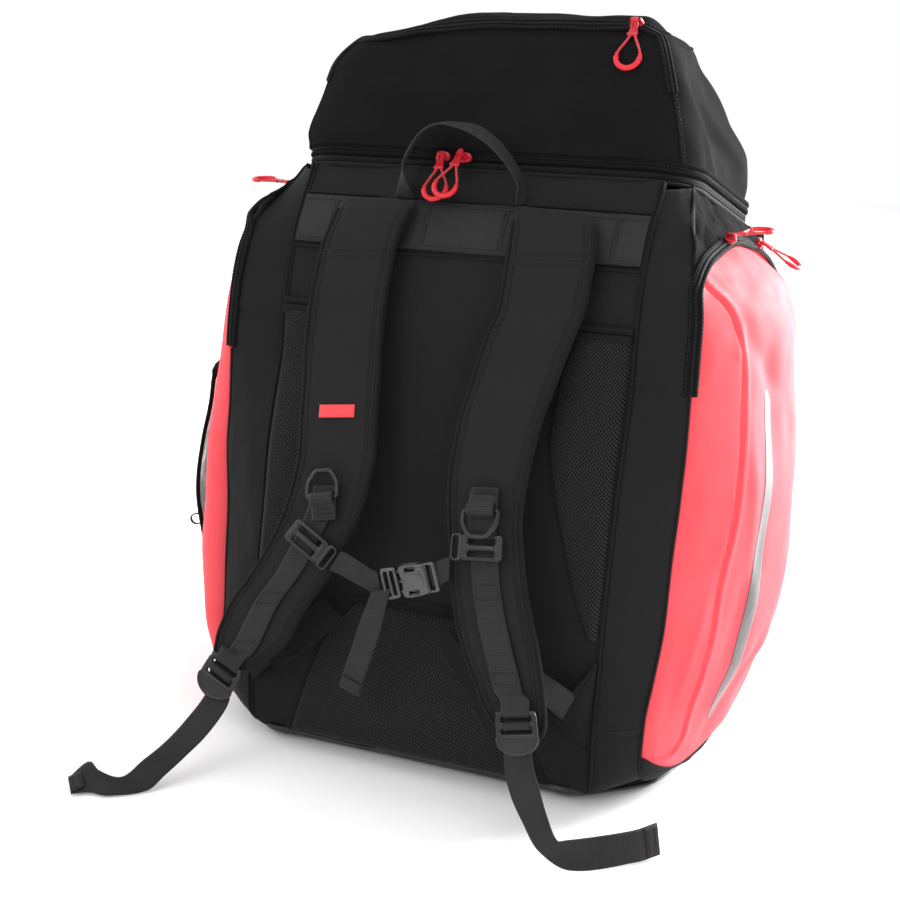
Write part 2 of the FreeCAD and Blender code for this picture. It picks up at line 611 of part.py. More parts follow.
wg_l = strap([((-84, -174, 152), (-66, -174, 136)), ((-112, -184, 128), (-92, -183, 108)),
                                ((-134, -196, 106), (-122, -196, 84))], 3.0)
node("lumbar_wings", Part.makeCompound([wg_l, wg_r]))

# ---- haul loop --------------------------------------------------------------------
HL = [((-76, -43.5, 492), (-54, -43.5, 492)), ((-72, -44.5, 507), (-56, -51, 507)),
      ((-67, -41, 520), (-64, -58, 521)), ((-58, -39, 536), (-57, -60, 537)),
      ((-46, -39, 549), (-45, -62, 550)), ((-30, -40, 557), (-31, -62, 558)),
      ((-12, -42, 559), (-14, -62, 552)), ((8, -45, 555), (3, -61, 542)),
      ((26, -46, 545), (16, -58, 531)), ((40, -45, 531), (24, -53, 521)),
      ((50, -44, 514), (29, -48, 510)), ((52, -43.5, 492), (30, -43.5, 492))]
node("haul_loop", sheet([[V(*a), V(*b)] for a, b in HL], WEB_T, V(0, 0, 1)))


# ===========================================================================
# 3  zip sliders and their cord pulls
# ===========================================================================
TAB_LEN = 14.0
PIN_R = 1.1
# cord loop of a pull, in the pull's own plane: x across, y up, pivot at the origin
LOOP = [(-1.7, -14.2), (-4.6, -20.5), (-9.0, -27.0), (-11.5, -34.5), (-8.6, -42.0), (-1.0, -45.6),
        (7.2, -42.6), (10.8, -35.5), (8.6, -27.5), (4.6, -20.5), (1.7, -14.2)]


def pull_frame(pivot, x, down):
    """Local Y points from the free end to the pivot; local X is the pin."""
    return frame(pivot, x, tuple(-q for q in down))


def lug_slider(body_frame, pull_fr, stand):
    """Slider plate with two lugs and a pin along the pull frame's X."""
    s = put(rrect(12, 8, 2.2, 0, 3.0), body_frame)
    h = stand - 2.4
    for sx in (-1, 1):
        lug = Part.makeBox(1.3, 3.2, h + 1.6, V(3.3 if sx > 0 else -4.6, -1.6, -h))
        s = s.fuse(put(lug, pull_fr))
    s = s.fuse(put(Part.makeCylinder(PIN_R, 7.4, V(-3.7, 0, 0), V(1, 0, 0)), pull_fr))
    return s


def pin_tab():
    eye = Part.makeCylinder(2.3, 5.6, V(-2.8, 0, 0), V(1, 0, 0))
    pts = [V(-2.8, 0, -1.1), V(2.8, 0, -1.1), V(4.4, -TAB_LEN, -1.1), V(-4.4, -TAB_LEN, -1.1)]
    body = Part.Face(Part.makePolygon(pts + [pts[0]])).extrude(V(0, 0, 2.2))
    s = eye.fuse(body)
    return s.cut(Part.makeCylinder(PIN_R + 0.35, 8, V(-4, 0, 0), V(1, 0, 0))).removeSplitter()


def post_tab(z0, t):
    """Tab that swings in its own plane round a post along local Z."""
    eye = Part.makeCylinder(3.4, t, V(0, 0, z0), V(0, 0, 1))
    pts = [V(-2.6, 0, z0), V(2.6, 0, z0), V(4.4, -TAB_LEN, z0), V(-4.4, -TAB_LEN, z0)]
    body = Part.Face(Part.makePolygon(pts + [pts[0]])).extrude(V(0, 0, t))
    s = eye.fuse(body)
    return s.cut(Part.makeCylinder(PIN_R + 0.35, t + 4, V(0, 0, z0 - 2), V(0, 0, 1))).removeSplitter()


def cord_loop(fr, z=0.0):
    pts = [fr.multVec(V(x, y, z)) for x, y in LOOP]
    return tube([(p.x, p.y, p.z) for p in pts], CORD_R)


def report(name, fr):
    print("PULL", name, "pivot %.2f %.2f %.2f" % tuple(fr.Base),
          "x %.4f %.4f %.4f" % tuple(fr.Rotation.multVec(V(1, 0, 0))),
          "y %.4f %.4f %.4f" % tuple(fr.Rotation.multVec(V(0, 1, 0))),
          "z %.4f %.4f %.4f" % tuple(fr.Rotation.multVec(V(0, 0, 1))))


# rim sliders: the pulls lie along the panel's slope and swing in two parallel
# planes, the right one in front of the left one
RIM_Z = 526.0
FACE_Y = -25.4
RIM_N = V(0, -0.81, 0.5864)
for side, x, depth, lean in (("left", -35.0, 5.4, 0.10), ("right", -14.0, 11.6, -0.16)):
    fb = frame((x, FACE_Y, RIM_Z), (1, 0, 0), (0, 0.5864, 0.81))
    body = put(rrect(13, 9, 2.4, 0, 4.6), fb)
    post = put(Part.makeCylinder(PIN_R, depth + 2.4, V(0, 0, 4.0), V(0, 0, 1)), fb)
    node("rim_slider_" + side, body.fuse(post).removeSplitter())
    fp = fb.multiply(FreeCAD.Placement(V(0, 0, 0), FreeCAD.Rotation(V(0, 0, 1), math.degrees(math.atan(lean)))))
    node("rim_tab_" + side, put(post_tab(depth, 2.4), fp))
    node("rim_cord_" + side, cord_loop(fp, depth + 1.2))
    report("rim_" + side, fp)

# hood slider on the zip along the front top edge
HN = V(0, -17.0, 20.0)
HN.normalize()
hs = frame((126, 19.5 + HN.y * 0.9, 639.8 + HN.z * 0.9), (1, 0, 0), (0, HN.z, -HN.y))
hp = pull_frame((126, 19.5 + HN.y * 7.4, 639.8 + HN.z * 7.4), (1, 0, 0), (0, -0.50, -0.866))
node("hood_slider", lug_slider(hs, hp, 5.6).removeSplitter())
node("hood_tab", put(pin_tab(), hp))
node("hood_cord", cord_loop(hp))
report("hood", hp)


def pocket_sliders(side, sx, lift):
    # the left front pull stands out sideways, the right one trails to the rear
    front_down = (0.52, 0.85, 0.02) if sx > 0 else (0.95, 0.25, 0.0)
    for tag, y, run, down in (("front", 16.0, (0, -63, -4), front_down),
                              ("rear", 118.0, (0, 39, -12.5), (0.80, 0.12, -0.50))):
        z = itp(ZIP_TOP, y) + lift
        up = V(0.18 * sx, 0, 1.0)
        up.normalize()
        o = V(216.5 * sx, y, z + 1.8)
        r = V(*run)
        r.normalize()
        fy = up.cross(r)
        fb = frame((o.x, o.y, o.z), (r.x, r.y, r.z), (fy.x, fy.y, fy.z))
        high = 6.4 if tag == "front" else 7.2
        piv = o.add(V(up).multiply(high))
        dn = V(down[0] * sx, down[1], down[2])
        dn.normalize()
        ax = dn.cross(V(0, 0, 1)) if tag == "front" else V(0, 1, 0).multiply(sx).sub(V(dn).multiply(V(0, sx, 0).dot(dn)))
        ax.normalize()
        fp = pull_frame((piv.x, piv.y, piv.z), (ax.x, ax.y, ax.z), (dn.x, dn.y, dn.z))
        if fp.Rotation.multVec(V(0, 0, 1)).z < 0:
            fp = pull_frame((piv.x, piv.y, piv.z), (-ax.x, -ax.y, -ax.z), (dn.x, dn.y, dn.z))
        nm = "pocket_%s_" + side + "_" + tag
        node(nm % "slider", lug_slider(fb, fp, high - 0.4).removeSplitter())
        node(nm % "tab", put(pin_tab(), fp))
        node(nm % "cord", cord_loop(fp))
        report(nm % "pull", fp)


pocket_sliders("right", 1, 0.0)
pocket_sliders("left", -1, ZIP_LIFT_LEFT)

# ===========================================================================
os.makedirs("parts", exist_ok=True)
for old in os.listdir("parts"):
    if old.endswith(".step") and old[:-5] not in OUT:
        os.remove(os.path.join("parts", old))
for name, shape in OUT.items():
    shape.exportStep("parts/%s.step" % name)
box = FreeCAD.BoundBox()
for shape in OUT.values():
    box.add(shape.BoundBox)
print("nodes", len(OUT), "box", box)
for q in (("d_ring_left", f_l), ("d_ring_right", f_r), ("buckle", bk)):
    report(q[0], q[1])
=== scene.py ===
import math

import bmesh
import bpy
import numpy as np
from mathutils import Matrix, Vector


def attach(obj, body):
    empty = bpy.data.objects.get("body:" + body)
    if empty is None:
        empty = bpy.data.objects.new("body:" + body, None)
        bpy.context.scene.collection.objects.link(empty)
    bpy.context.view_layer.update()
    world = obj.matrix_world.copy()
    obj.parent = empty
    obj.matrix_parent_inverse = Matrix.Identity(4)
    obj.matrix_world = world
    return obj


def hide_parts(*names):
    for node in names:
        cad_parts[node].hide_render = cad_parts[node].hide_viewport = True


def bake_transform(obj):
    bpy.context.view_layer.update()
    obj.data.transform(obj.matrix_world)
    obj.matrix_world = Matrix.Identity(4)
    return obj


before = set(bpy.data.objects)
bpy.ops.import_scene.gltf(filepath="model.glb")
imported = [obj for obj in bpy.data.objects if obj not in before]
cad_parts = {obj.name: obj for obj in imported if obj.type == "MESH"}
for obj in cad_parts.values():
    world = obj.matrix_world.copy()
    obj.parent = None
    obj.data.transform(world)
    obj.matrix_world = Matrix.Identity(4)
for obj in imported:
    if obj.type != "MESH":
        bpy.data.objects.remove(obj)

SCENE = bpy.context.scene
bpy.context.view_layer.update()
MM = 0.001

# ---------------------------------------------------------------------------
# camera
# ---------------------------------------------------------------------------
az, el = math.radians(24.5), math.radians(17.0)
back = Vector((math.sin(az) * math.cos(el), -math.cos(az) * math.cos(el), math.sin(el)))
cam_data = bpy.data.cameras.new("camera")
cam_data.lens = 63.2
cam_data.sensor_width = 36.0
cam_data.clip_end = 60.0
cam = bpy.data.objects.new("camera", cam_data)
cam.location = (0.5584, -1.3146, 0.6881)
cam.rotation_euler = (-back).to_track_quat("-Z", "Y").to_euler()
SCENE.collection.objects.link(cam)
SCENE.camera = cam


# ---------------------------------------------------------------------------
# maths helpers (millimetres)
# ---------------------------------------------------------------------------
def arr(x):
    return np.array(x, float)


def unit(v):
    v = arr(v)
    return v / np.maximum(np.linalg.norm(v, axis=-1, keepdims=True), 1e-12)


def pchip(xs, ys, q):
    """Smooth curve through a table, without overshoot. ys may be a vector per row."""
    xs, ys, q = arr(xs), arr(ys), arr(q)
    if ys.ndim == 1:
        return pchip(xs, ys[:, None], q)[..., 0]
    h = np.diff(xs)[:, None]
    d = np.diff(ys, axis=0) / h
    m = np.zeros_like(ys)
    if len(xs) > 2:
        w1, w2 = 2 * h[1:] + h[:-1], h[1:] + 2 * h[:-1]
        with np.errstate(divide="ignore", invalid="ignore"):
            hm = (w1 + w2) / (w1 / d[:-1] + w2 / d[1:])
        m[1:-1] = np.where(d[:-1] * d[1:] > 0, hm, 0)
    m[0], m[-1] = d[0], d[-1]
    i = np.clip(np.searchsorted(xs, q, side="right") - 1, 0, len(xs) - 2)
    t = np.clip((q - xs[i]) / (xs[i + 1] - xs[i]), 0, 1)[..., None]
    hh = (xs[i + 1] - xs[i])[..., None]
    return ((2 * t ** 3 - 3 * t ** 2 + 1) * ys[i] + (t ** 3 - 2 * t ** 2 + t) * hh * m[i]
            + (-2 * t ** 3 + 3 * t ** 2) * ys[i + 1] + (t ** 3 - t ** 2) * hh * m[i + 1])


def tabf(tab):
    xs, ys = [p[0] for p in tab], [p[1] for p in tab]
    return lambda q: pchip(xs, ys, np.clip(q, xs[0], xs[-1]))


def lin(tab, q):
    return np.interp(q, [p[0] for p in tab], [p[1] for p in tab])


def sstep(a, b, x):
    t = np.clip((arr(x) - a) / (b - a), 0, 1)
    return t * t * (3 - 2 * t)


def vnoise(P, scale, seed=0):
    """Smooth value noise, -1 to 1, at points P (mm)."""
    q = arr(P) / scale
    i = np.floor(q).astype(np.int64)
    f = q - i
    f = f * f * (3 - 2 * f)

    def h(a, b, c):
        n = (a * 374761393 + b * 668265263 + c * 1440662683 + seed * 1274126177) & 0xFFFFFFFF
        n = ((n ^ (n >> 13)) * 1274126177) & 0xFFFFFFFF
        n = n ^ (n >> 16)
        return (n & 0xFFFFFF) / float(0xFFFFFF) * 2 - 1

    out = 0
    for dx in (0, 1):
        for dy in (0, 1):
            for dz in (0, 1):
                w = (f[..., 0] if dx else 1 - f[..., 0]) * (f[..., 1] if dy else 1 - f[..., 1]) * (f[..., 2] if dz else 1 - f[..., 2])
                out = out + w * h(i[..., 0] + dx, i[..., 1] + dy, i[..., 2] + dz)
    return out


def fbm(P, scale, seed=0, oct=3):
    return sum(vnoise(P, scale / 2 ** k, seed + k) / 2 ** k for k in range(oct))


def crease(P, a, b, width, depth):
    """Displacement of a soft fold along the segment a-b, fading at both ends."""
    a, b = arr(a), arr(b)
    d = b - a
    t = ((P - a) @ d) / (d @ d)
    c = a + np.clip(t, 0, 1)[..., None] * d
    r = np.linalg.norm(P - c, axis=-1)
    tt = np.clip(t, 0, 1)
    return depth * np.exp(-(r / width) ** 2) * np.sin(np.pi * np.clip(tt * 0.94 + 0.03, 0, 1)) ** 0.6


def gnormals(P, wrap=False):
    if wrap:
        dv = np.roll(P, -1, 1) - np.roll(P, 1, 1)
    else:
        dv = np.gradient(P, axis=1)
    du = np.gradient(P, axis=0)
    return unit(np.cross(du, dv))


def curve_pts(pts, n, closed=False):
    """n points along a smooth curve through pts."""
    pts = arr(pts)
    if closed:
        pts = np.vstack([pts[-2:], pts, pts[:3]])
    d = np.r_[0, np.cumsum(np.linalg.norm(np.diff(pts, axis=0), axis=1))]
    if closed:
        q = np.linspace(d[2], d[-3], n, endpoint=False)
    else:
        q = np.linspace(0, d[-1], n)
    # Catmull-Rom in chord length
    m = np.zeros_like(pts)
    m[1:-1] = (pts[2:] - pts[:-2]) / (d[2:] - d[:-2])[:, None]
    m[0] = (pts[1] - pts[0]) / (d[1] - d[0])
    m[-1] = (pts[-1] - pts[-2]) / (d[-1] - d[-2])
    i = np.clip(np.searchsorted(d, q, side="right") - 1, 0, len(d) - 2)
    h = (d[i + 1] - d[i])[:, None]
    t = ((q - d[i]) / (d[i + 1] - d[i]))[:, None]
    return ((2 * t ** 3 - 3 * t ** 2 + 1) * pts[i] + (t ** 3 - 2 * t ** 2 + t) * h * m[i]
            + (-2 * t ** 3 + 3 * t ** 2) * pts[i + 1] + (t ** 3 - t ** 2) * h * m[i + 1])


def path_len(p):
    return float(np.linalg.norm(np.diff(p, axis=0), axis=1).sum())


class Fr:
    """A local frame: origin and three unit axes, in mm."""

    def __init__(self, o, x, y, z=None):
        self.o, self.x = arr(o), unit(x)
        z = np.cross(self.x, arr(y)) if z is None else arr(z)
        self.z = unit(z)
        self.y = np.cross(self.z, self.x)

    def __call__(self, p):
        p = arr(p)
        return self.o + p[..., :1] * self.x + p[..., 1:2] * self.y + p[..., 2:3] * self.z

    def shift(self, p):
        return Fr(self(arr(p)), self.x, self.y, self.z)


# ---------------------------------------------------------------------------
# mesh builder
# ---------------------------------------------------------------------------
class MB:
    def __init__(self):
        self.v, self.f, self.uv, self.mi, self.n = [], [], [], [], 0

    def add(self, P, F, UV, mi=0):
        """P (k,3), F list of index arrays (n,4) or (n,3), UV per corner."""
        self.v.append(arr(P).reshape(-1, 3))
        for f, u in zip(F, UV):
            self.f.append(np.asarray(f) + self.n)
            self.uv.append(arr(u))
            self.mi.append(np.full(len(f), mi))
        self.n += len(self.v[-1])
        return self

    @staticmethod
    def _grid(n, m, off=0, wrap=False, flip=False):
        mm = m if wrap else m - 1
        i, j = np.meshgrid(np.arange(n - 1), np.arange(mm), indexing="ij")
        i, j = i.ravel(), j.ravel()
        k = (j + 1) % m
        f = np.stack([i * m + j, i * m + k, (i + 1) * m + k, (i + 1) * m + j], 1) + off
        ci = np.stack([i, i, i + 1, i + 1], 1)
        cj = np.stack([j, j + 1, j + 1, j], 1)
        if flip:
            f, ci, cj = f[:, ::-1], ci[:, ::-1], cj[:, ::-1]
        return f, ci, cj

    @staticmethod
    def _uv(P, wrap):
        du = np.linalg.norm(np.diff(P, axis=0), axis=2).mean(1)
        Q = np.concatenate([P, P[:, :1]], 1) if wrap else P
        dv = np.linalg.norm(np.diff(Q, axis=1), axis=2).mean(0)
        return np.r_[0, np.cumsum(du)], np.r_[0, np.cumsum(dv)]

    def grid(self, P, wrap=False, mi=0, flip=False):
        n, m = P.shape[:2]
        U, W = self._uv(P, wrap)
        f, ci, cj = self._grid(n, m, 0, wrap, flip)
        self.add(P, [f], [np.stack([W[cj], U[ci]], -1)], mi)
        return self

    def shell(self, P, t, mi=0, mi_in=None, wrap=False, inner=None, cap0=True, cap1=True):
        """Closed two-faced wall: P the outer grid, the inner one t along -normal."""
        n, m = P.shape[:2]
        N = gnormals(P, wrap)
        if ((P - arr([0, 20, 260])) * N).sum(-1).mean() < 0:
            N = -N
        Q = P - N * t if inner is None else inner
        U, W = self._uv(P, wrap)
        f, ci, cj = self._grid(n, m, 0, wrap)
        base = self.n
        self.v += [P.reshape(-1, 3), Q.reshape(-1, 3)]
        uv = np.stack([W[cj], U[ci]], -1)
        mi_in = mi if mi_in is None else mi_in

        def put(F, UVc, m_):
            self.f.append(np.asarray(F) + base)
            self.uv.append(arr(UVc))
            self.mi.append(np.full(len(F), m_))
        put(f, uv, mi)
        put(f[:, ::-1] + n * m, uv[:, ::-1], mi_in)
        mm = m if wrap else m - 1
        o = n * m
        ring = []
        for j in range(mm):
            k = (j + 1) % m
            if cap0:
                ring.append((k, j, o + j, o + k))
            if cap1:
                q = (n - 1) * m
                ring.append((q + j, q + k, o + q + k, o + q + j))
        if not wrap:
            for i in range(n - 1):
                a, b = i * m, (i + 1) * m
                ring.append((a, b, o + b, o + a))
                a, b = a + m - 1, b + m - 1
                ring.append((b, a, o + a, o + b))
        if ring:
            put(np.array(ring), np.tile(arr([[0, 0], [1, 0], [1, 1], [0, 1]]), (len(ring), 1, 1)), mi)
        self.n += 2 * n * m
        return self

    def tube(self, pts, r, n=10, closed=False, up=None, ry=None, mi=0, caps=True):
        """Sweep of a circle or ellipse (r across, ry along up) along pts."""
        pts = arr(pts)
        k = len(pts)
        if closed:
            T = unit(np.roll(pts, -1, 0) - np.roll(pts, 1, 0))
        else:
            T = unit(np.gradient(pts, axis=0))
        r = np.broadcast_to(arr(r), (k,))
        ry = r if ry is None else np.broadcast_to(arr(ry), (k,))
        A = np.zeros_like(pts)
        if up is not None:
            up = np.broadcast_to(arr(up), pts.shape)
            A = unit(up - (up * T).sum(1, keepdims=True) * T)
        else:
            a = np.cross(T[0], (0.3, 0.2, 0.93))
            A[0] = unit(a)
            for i in range(1, k):
                a = A[i - 1] - (A[i - 1] @ T[i]) * T[i]
                A[i] = unit(a)
            if closed:
                b = A[-1] - (A[-1] @ T[0]) * T[0]
                ang = math.atan2(np.cross(b, A[0]) @ T[0], b @ A[0])
                for i in range(k):
                    q = ang * i / k
                    B0 = np.cross(T[i], A[i])
                    A[i] = A[i] * math.cos(q) + B0 * math.sin(q)
        B = np.cross(T, A)
        th = np.linspace(0, 2 * np.pi, n, endpoint=False)
        P = pts[:, None] + B[:, None] * (np.cos(th)[None, :, None] * r[:, None, None]) + A[:, None] * (np.sin(th)[None, :, None] * ry[:, None, None])
        if closed:
            P = np.concatenate([P, P[:1]], 0)
            base = self.n
            U, W = self._uv(P, True)
            f, ci, cj = self._grid(k + 1, n, 0, True)
            f = np.where(f >= k * n, f - k * n, f)
            self.v.append(P[:-1].reshape(-1, 3))
            self.f.append(f + base)
            self.uv.append(np.stack([W[cj], U[ci]], -1))
            self.mi.append(np.full(len(f), mi))
            self.n += k * n
            return self
        if caps:
            # rounded ends
            for s, i in ((-1, 0), (1, k - 1)):
                c = pts[i]
                rings = []
                for a in (0.45, 0.8, 0.97):
                    e = math.sqrt(1 - a * a)
                    q = c + T[i] * s * a * min(r[i], ry[i]) + (P[i] - c) * e
                    rings.append(q)
                rings = np.array(rings)
                P = np.concatenate([rings[::-1], P], 0) if s < 0 else np.concatenate([P, rings], 0)
        base = self.n
        U, W = self._uv(P, True)
        kk = len(P)
        f, ci, cj = self._grid(kk, n, 0, True)
        self.v.append(P.reshape(-1, 3))
        self.f.append(f + base)
        self.uv.append(np.stack([W[cj], U[ci]], -1))
        self.mi.append(np.full(len(f), mi))
        self.v.append(arr([P[0].mean(0), P[-1].mean(0)]))
        a, b = base + kk * n, base + kk * n + 1
        tri = [(a, base + (j + 1) % n, base + j) for j in range(n)] + [(b, base + (kk - 1) * n + j, base + (kk - 1) * n + (j + 1) % n) for j in range(n)]
        self.f.append(np.array(tri))
        self.uv.append(np.zeros((len(tri), 3, 2)))
        self.mi.append(np.full(len(tri), mi))
        self.n += kk * n + 2
        return self

    def rbox(self, size, r, fr=None, c=(0, 0, 0), k=4, mi=0):
        """Box with rounded edges, in frame fr."""
        size, c = arr(size), arr(c)
        r = min(r, size.min() / 2 * 0.999)
        g = np.linspace(-1, 1, k * 2)
        base = []
        faces = []
        for ax in range(3):
            for s in (-1, 1):
                a, b = np.meshgrid(g, g, indexing="ij")
                p = np.zeros(a.shape + (3,))
                p[..., ax] = s
                p[..., (ax + 1) % 3] = a
                p[..., (ax + 2) % 3] = b
                h = size / 2
                # put half of the grid lines on the rounding
                q = np.sign(p) * (h - r) * np.where(np.abs(p) > 1e-9, 1, 0)
                t = np.abs(p)
                lo = 1.0 / (2 * k - 1)
                dirv = np.sign(p) * np.clip((t - lo) / (1 - lo), 0, 1)
                core = np.sign(p) * (h - r)
                d = unit(dirv)
                q = core + d * r
                f, ci, cj = self._grid(2 * k, 2 * k, 0, False, flip=(s < 0))
                base.append(q.reshape(-1, 3) + c)
                faces.append(f)
        off = self.n
        for q, f in zip(base, faces):
            w = fr(q) if fr is not None else q
            self.v.append(w)
            self.f.append(f + off)
            self.uv.append(np.zeros((len(f), 4, 2)) + q[f][..., :2] * 1.0)
            self.mi.append(np.full(len(f), mi))
            off += len(q)
        self.n = off
        return self

    def build(self, name, mats, body=None, slot=None, sharp=None, weld=None, recalc=True, replaces=()):
        V = np.concatenate(self.v) * MM
        me = bpy.data.meshes.new(name)
        fl = [row for f in self.f for row in f.tolist()]
        me.from_pydata(V.tolist(), [], fl)
        uvl = me.uv_layers.new(name="UVMap")
        me.polygons.foreach_set("material_index", np.concatenate(self.mi).astype(np.int32))
        cu = np.concatenate([u.reshape(-1, 2) for u in self.uv])
        uvl.data.foreach_set("uv", cu.astype(np.float32).ravel())
        me.update()
        if recalc or weld:
            bm = bmesh.new()
            bm.from_mesh(me)
            if weld:
                bmesh.ops.remove_doubles(bm, verts=bm.verts, dist=weld * MM)
            bmesh.ops.dissolve_degenerate(bm, dist=1e-7, edges=bm.edges)
            if recalc:
                bmesh.ops.recalc_face_normals(bm, faces=bm.faces)
            bm.to_mesh(me)
            bm.free()
        me.polygons.foreach_set("use_smooth", np.ones(len(me.polygons), bool))
        if sharp:
            me.set_sharp_from_angle(angle=math.radians(sharp))
        for m in (mats if isinstance(mats, (list, tuple)) else [mats]):
            me.materials.append(m)
        ob = bpy.data.objects.new(name, me)
        SCENE.collection.objects.link(ob)
        if body:
            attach(ob, body)
        if replaces:
            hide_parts(*replaces)
        return ob


def plate(loops, t, bevel, fr, z0=0.0, res=2):
    """Flat moulded plate from closed outlines (first outer, rest holes), local
    z from z0 to z0 + t, edges rounded. Returns (verts, faces) in mm."""
    cu = bpy.data.curves.new("tmp", "CURVE")
    cu.dimensions = "2D"
    cu.fill_mode = "BOTH"
    for lp in loops:
        sp = cu.splines.new("POLY")
        sp.points.add(len(lp) - 1)
        for q, p in zip(sp.points, lp):
            q.co = (p[0], p[1], 0, 1)
        sp.use_cyclic_u = True
    cu.extrude = max(t / 2 - bevel, 1e-4)
    cu.bevel_depth = bevel
    cu.bevel_resolution = res
    cu.offset = -bevel
    ob = bpy.data.objects.new("tmp", cu)
    SCENE.collection.objects.link(ob)
    bpy.context.view_layer.update()
    me = bpy.data.meshes.new_from_object(ob.evaluated_get(bpy.context.evaluated_depsgraph_get()))
    bm = bmesh.new()
    bm.from_mesh(me)
    bmesh.ops.remove_doubles(bm, verts=bm.verts, dist=1e-4)
    v = arr([q.co[:] for q in bm.verts])
    f = [[q.index for q in fc.verts] for fc in bm.faces]
    bm.free()
    bpy.data.objects.remove(ob)
    bpy.data.meshes.remove(me)
    bpy.data.curves.remove(cu)
    v[:, 2] += z0 + t / 2
    return fr(v), f


def add_plate(mb, loops, t, bevel, fr, z0=0.0, res=2, mi=0):
    v, f = plate(loops, t, bevel, fr, z0, res)
    tri = np.array([q for q in f if len(q) == 3]).reshape(-1, 3)
    quad = np.array([q for q in f if len(q) == 4]).reshape(-1, 4)
    F, U = [], []
    for g in (tri, quad):
        if len(g):
            F.append(g)
            U.append(v[g][..., :2])
    mb.add(v, F, U, mi)
    return mb


def rr(w, h, r, cx=0, cy=0, n=6):
    """Rounded rectangle outline."""
    pts = []
    for sx, sy, a0 in ((1, 1, 0), (-1, 1, 90), (-1, -1, 180), (1, -1, 270)):
        for i in range(n):
            a = math.radians(a0 + 90 * i / (n - 1))
            pts.append((cx + sx * (w / 2 - r) + r * math.cos(a), cy + sy * (h / 2 - r) + r * math.sin(a)))
    return pts


# ---------------------------------------------------------------------------
# materials
# ---------------------------------------------------------------------------
class NT:
    """Small helper round a node tree."""

    def __init__(self, name):
        self.m = bpy.data.materials.new(name)
        self.m.use_nodes = True
        self.t = self.m.node_tree
        self.t.nodes.clear()
        self.out = self.t.nodes.new("ShaderNodeOutputMaterial")
        self.b = self.t.nodes.new("ShaderNodeBsdfPrincipled")
        self.t.links.new(self.b.outputs[0], self.out.inputs[0])
        self.tc = self.t.nodes.new("ShaderNodeTexCoord")

    def link(self, a, b):
        self.t.links.new(a, b)

    def val(self, x, sock):
        if isinstance(x, (int, float)):
            sock.default_value = x
        elif isinstance(x, (tuple, list)):
            sock.default_value = x if len(x) == 4 or sock.type == "VECTOR" else tuple(x) + (1,)
        else:
            self.link(x, sock)

    def math(self, op, a, b=None, c=None, clamp=False):
        n = self.t.nodes.new("ShaderNodeMath")
        n.operation = op
        n.use_clamp = clamp
        self.val(a, n.inputs[0])
        if b is not None:
            self.val(b, n.inputs[1])
        if c is not None:
            self.val(c, n.inputs[2])
        return n.outputs[0]

    def noise(self, scale, detail=2, vec=None, rough=0.5, coord="Object", dist=0.0):
        n = self.t.nodes.new("ShaderNodeTexNoise")
        n.inputs["Scale"].default_value = scale
        n.inputs["Detail"].default_value = detail
        n.inputs["Roughness"].default_value = rough
        n.inputs["Distortion"].default_value = dist
        self.link(self.tc.outputs[coord] if vec is None else vec, n.inputs["Vector"])
        return n.outputs["Fac"]

    def voronoi(self, scale, feature="F1", coord="Object", vec=None):
        n = self.t.nodes.new("ShaderNodeTexVoronoi")
        n.feature = feature
        n.inputs["Scale"].default_value = scale
        self.link(self.tc.outputs[coord] if vec is None else vec, n.inputs["Vector"])
        return n.outputs["Distance"]

    def uv(self):
        s = self.t.nodes.new("ShaderNodeSeparateXYZ")
        self.link(self.tc.outputs["UV"], s.inputs[0])
        return s.outputs[0], s.outputs[1]

    def obj(self):
        s = self.t.nodes.new("ShaderNodeSeparateXYZ")
        self.link(self.tc.outputs["Object"], s.inputs[0])
        return s.outputs

    def ramp(self, fac, stops):
        n = self.t.nodes.new("ShaderNodeValToRGB")
        e = n.color_ramp.elements
        while len(e) < len(stops):
            e.new(0.5)
        for q, (p, c) in zip(e, stops):
            q.position = p
            q.color = tuple(c) + (1,) if len(c) == 3 else c
        self.link(fac, n.inputs[0])
        return n.outputs[0]

    def map(self, x, a, b, c, d):
        n = self.t.nodes.new("ShaderNodeMapRange")
        self.val(x, n.inputs[0])
        for i, q in enumerate((a, b, c, d)):
            n.inputs[i + 1].default_value = q
        return n.outputs[0]

    def mixc(self, f, a, b, mode="MIX"):
        n = self.t.nodes.new("ShaderNodeMix")
        n.data_type = "RGBA"
        n.blend_type = mode
        self.val(f, n.inputs[0])
        self.val(a, n.inputs[6])
        self.val(b, n.inputs[7])
        return n.outputs[2]

    def bump(self, h, strength, dist, normal=None):
        n = self.t.nodes.new("ShaderNodeBump")
        n.inputs["Strength"].default_value = strength
        n.inputs["Distance"].default_value = dist
        self.link(h, n.inputs["Height"])
        if normal is not None:
            self.link(normal, n.inputs["Normal"])
        return n.outputs[0]

    def wave(self, x, pitch):
        """|sin| of a coordinate in mm with that pitch."""
        return self.math("ABSOLUTE", self.math("SINE", self.math("MULTIPLY", x, math.pi / pitch)))

    def done(self, color, rough, normal=None, **k):
        self.val(color, self.b.inputs["Base Color"])
        self.val(rough, self.b.inputs["Roughness"])
        if normal is not None:
            self.link(normal, self.b.inputs["Normal"])
        for n, v in k.items():
            self.b.inputs[n.replace("_", " ")].default_value = v
        return self.m


def weave(n, pitch):
    """Plain weave height from the mm UVs."""
    u, v = n.uv()
    a, b = n.wave(u, pitch), n.wave(v, pitch)
    c = n.math("MULTIPLY_ADD", n.math("MULTIPLY", n.math("SINE", n.math("MULTIPLY", u, math.pi / pitch)),
                                      n.math("SINE", n.math("MULTIPLY", v, math.pi / pitch))), 0.5, 0.5)
    return n.math("ADD", n.math("MULTIPLY", a, c), n.math("MULTIPLY", b, n.math("SUBTRACT", 1.0, c)))


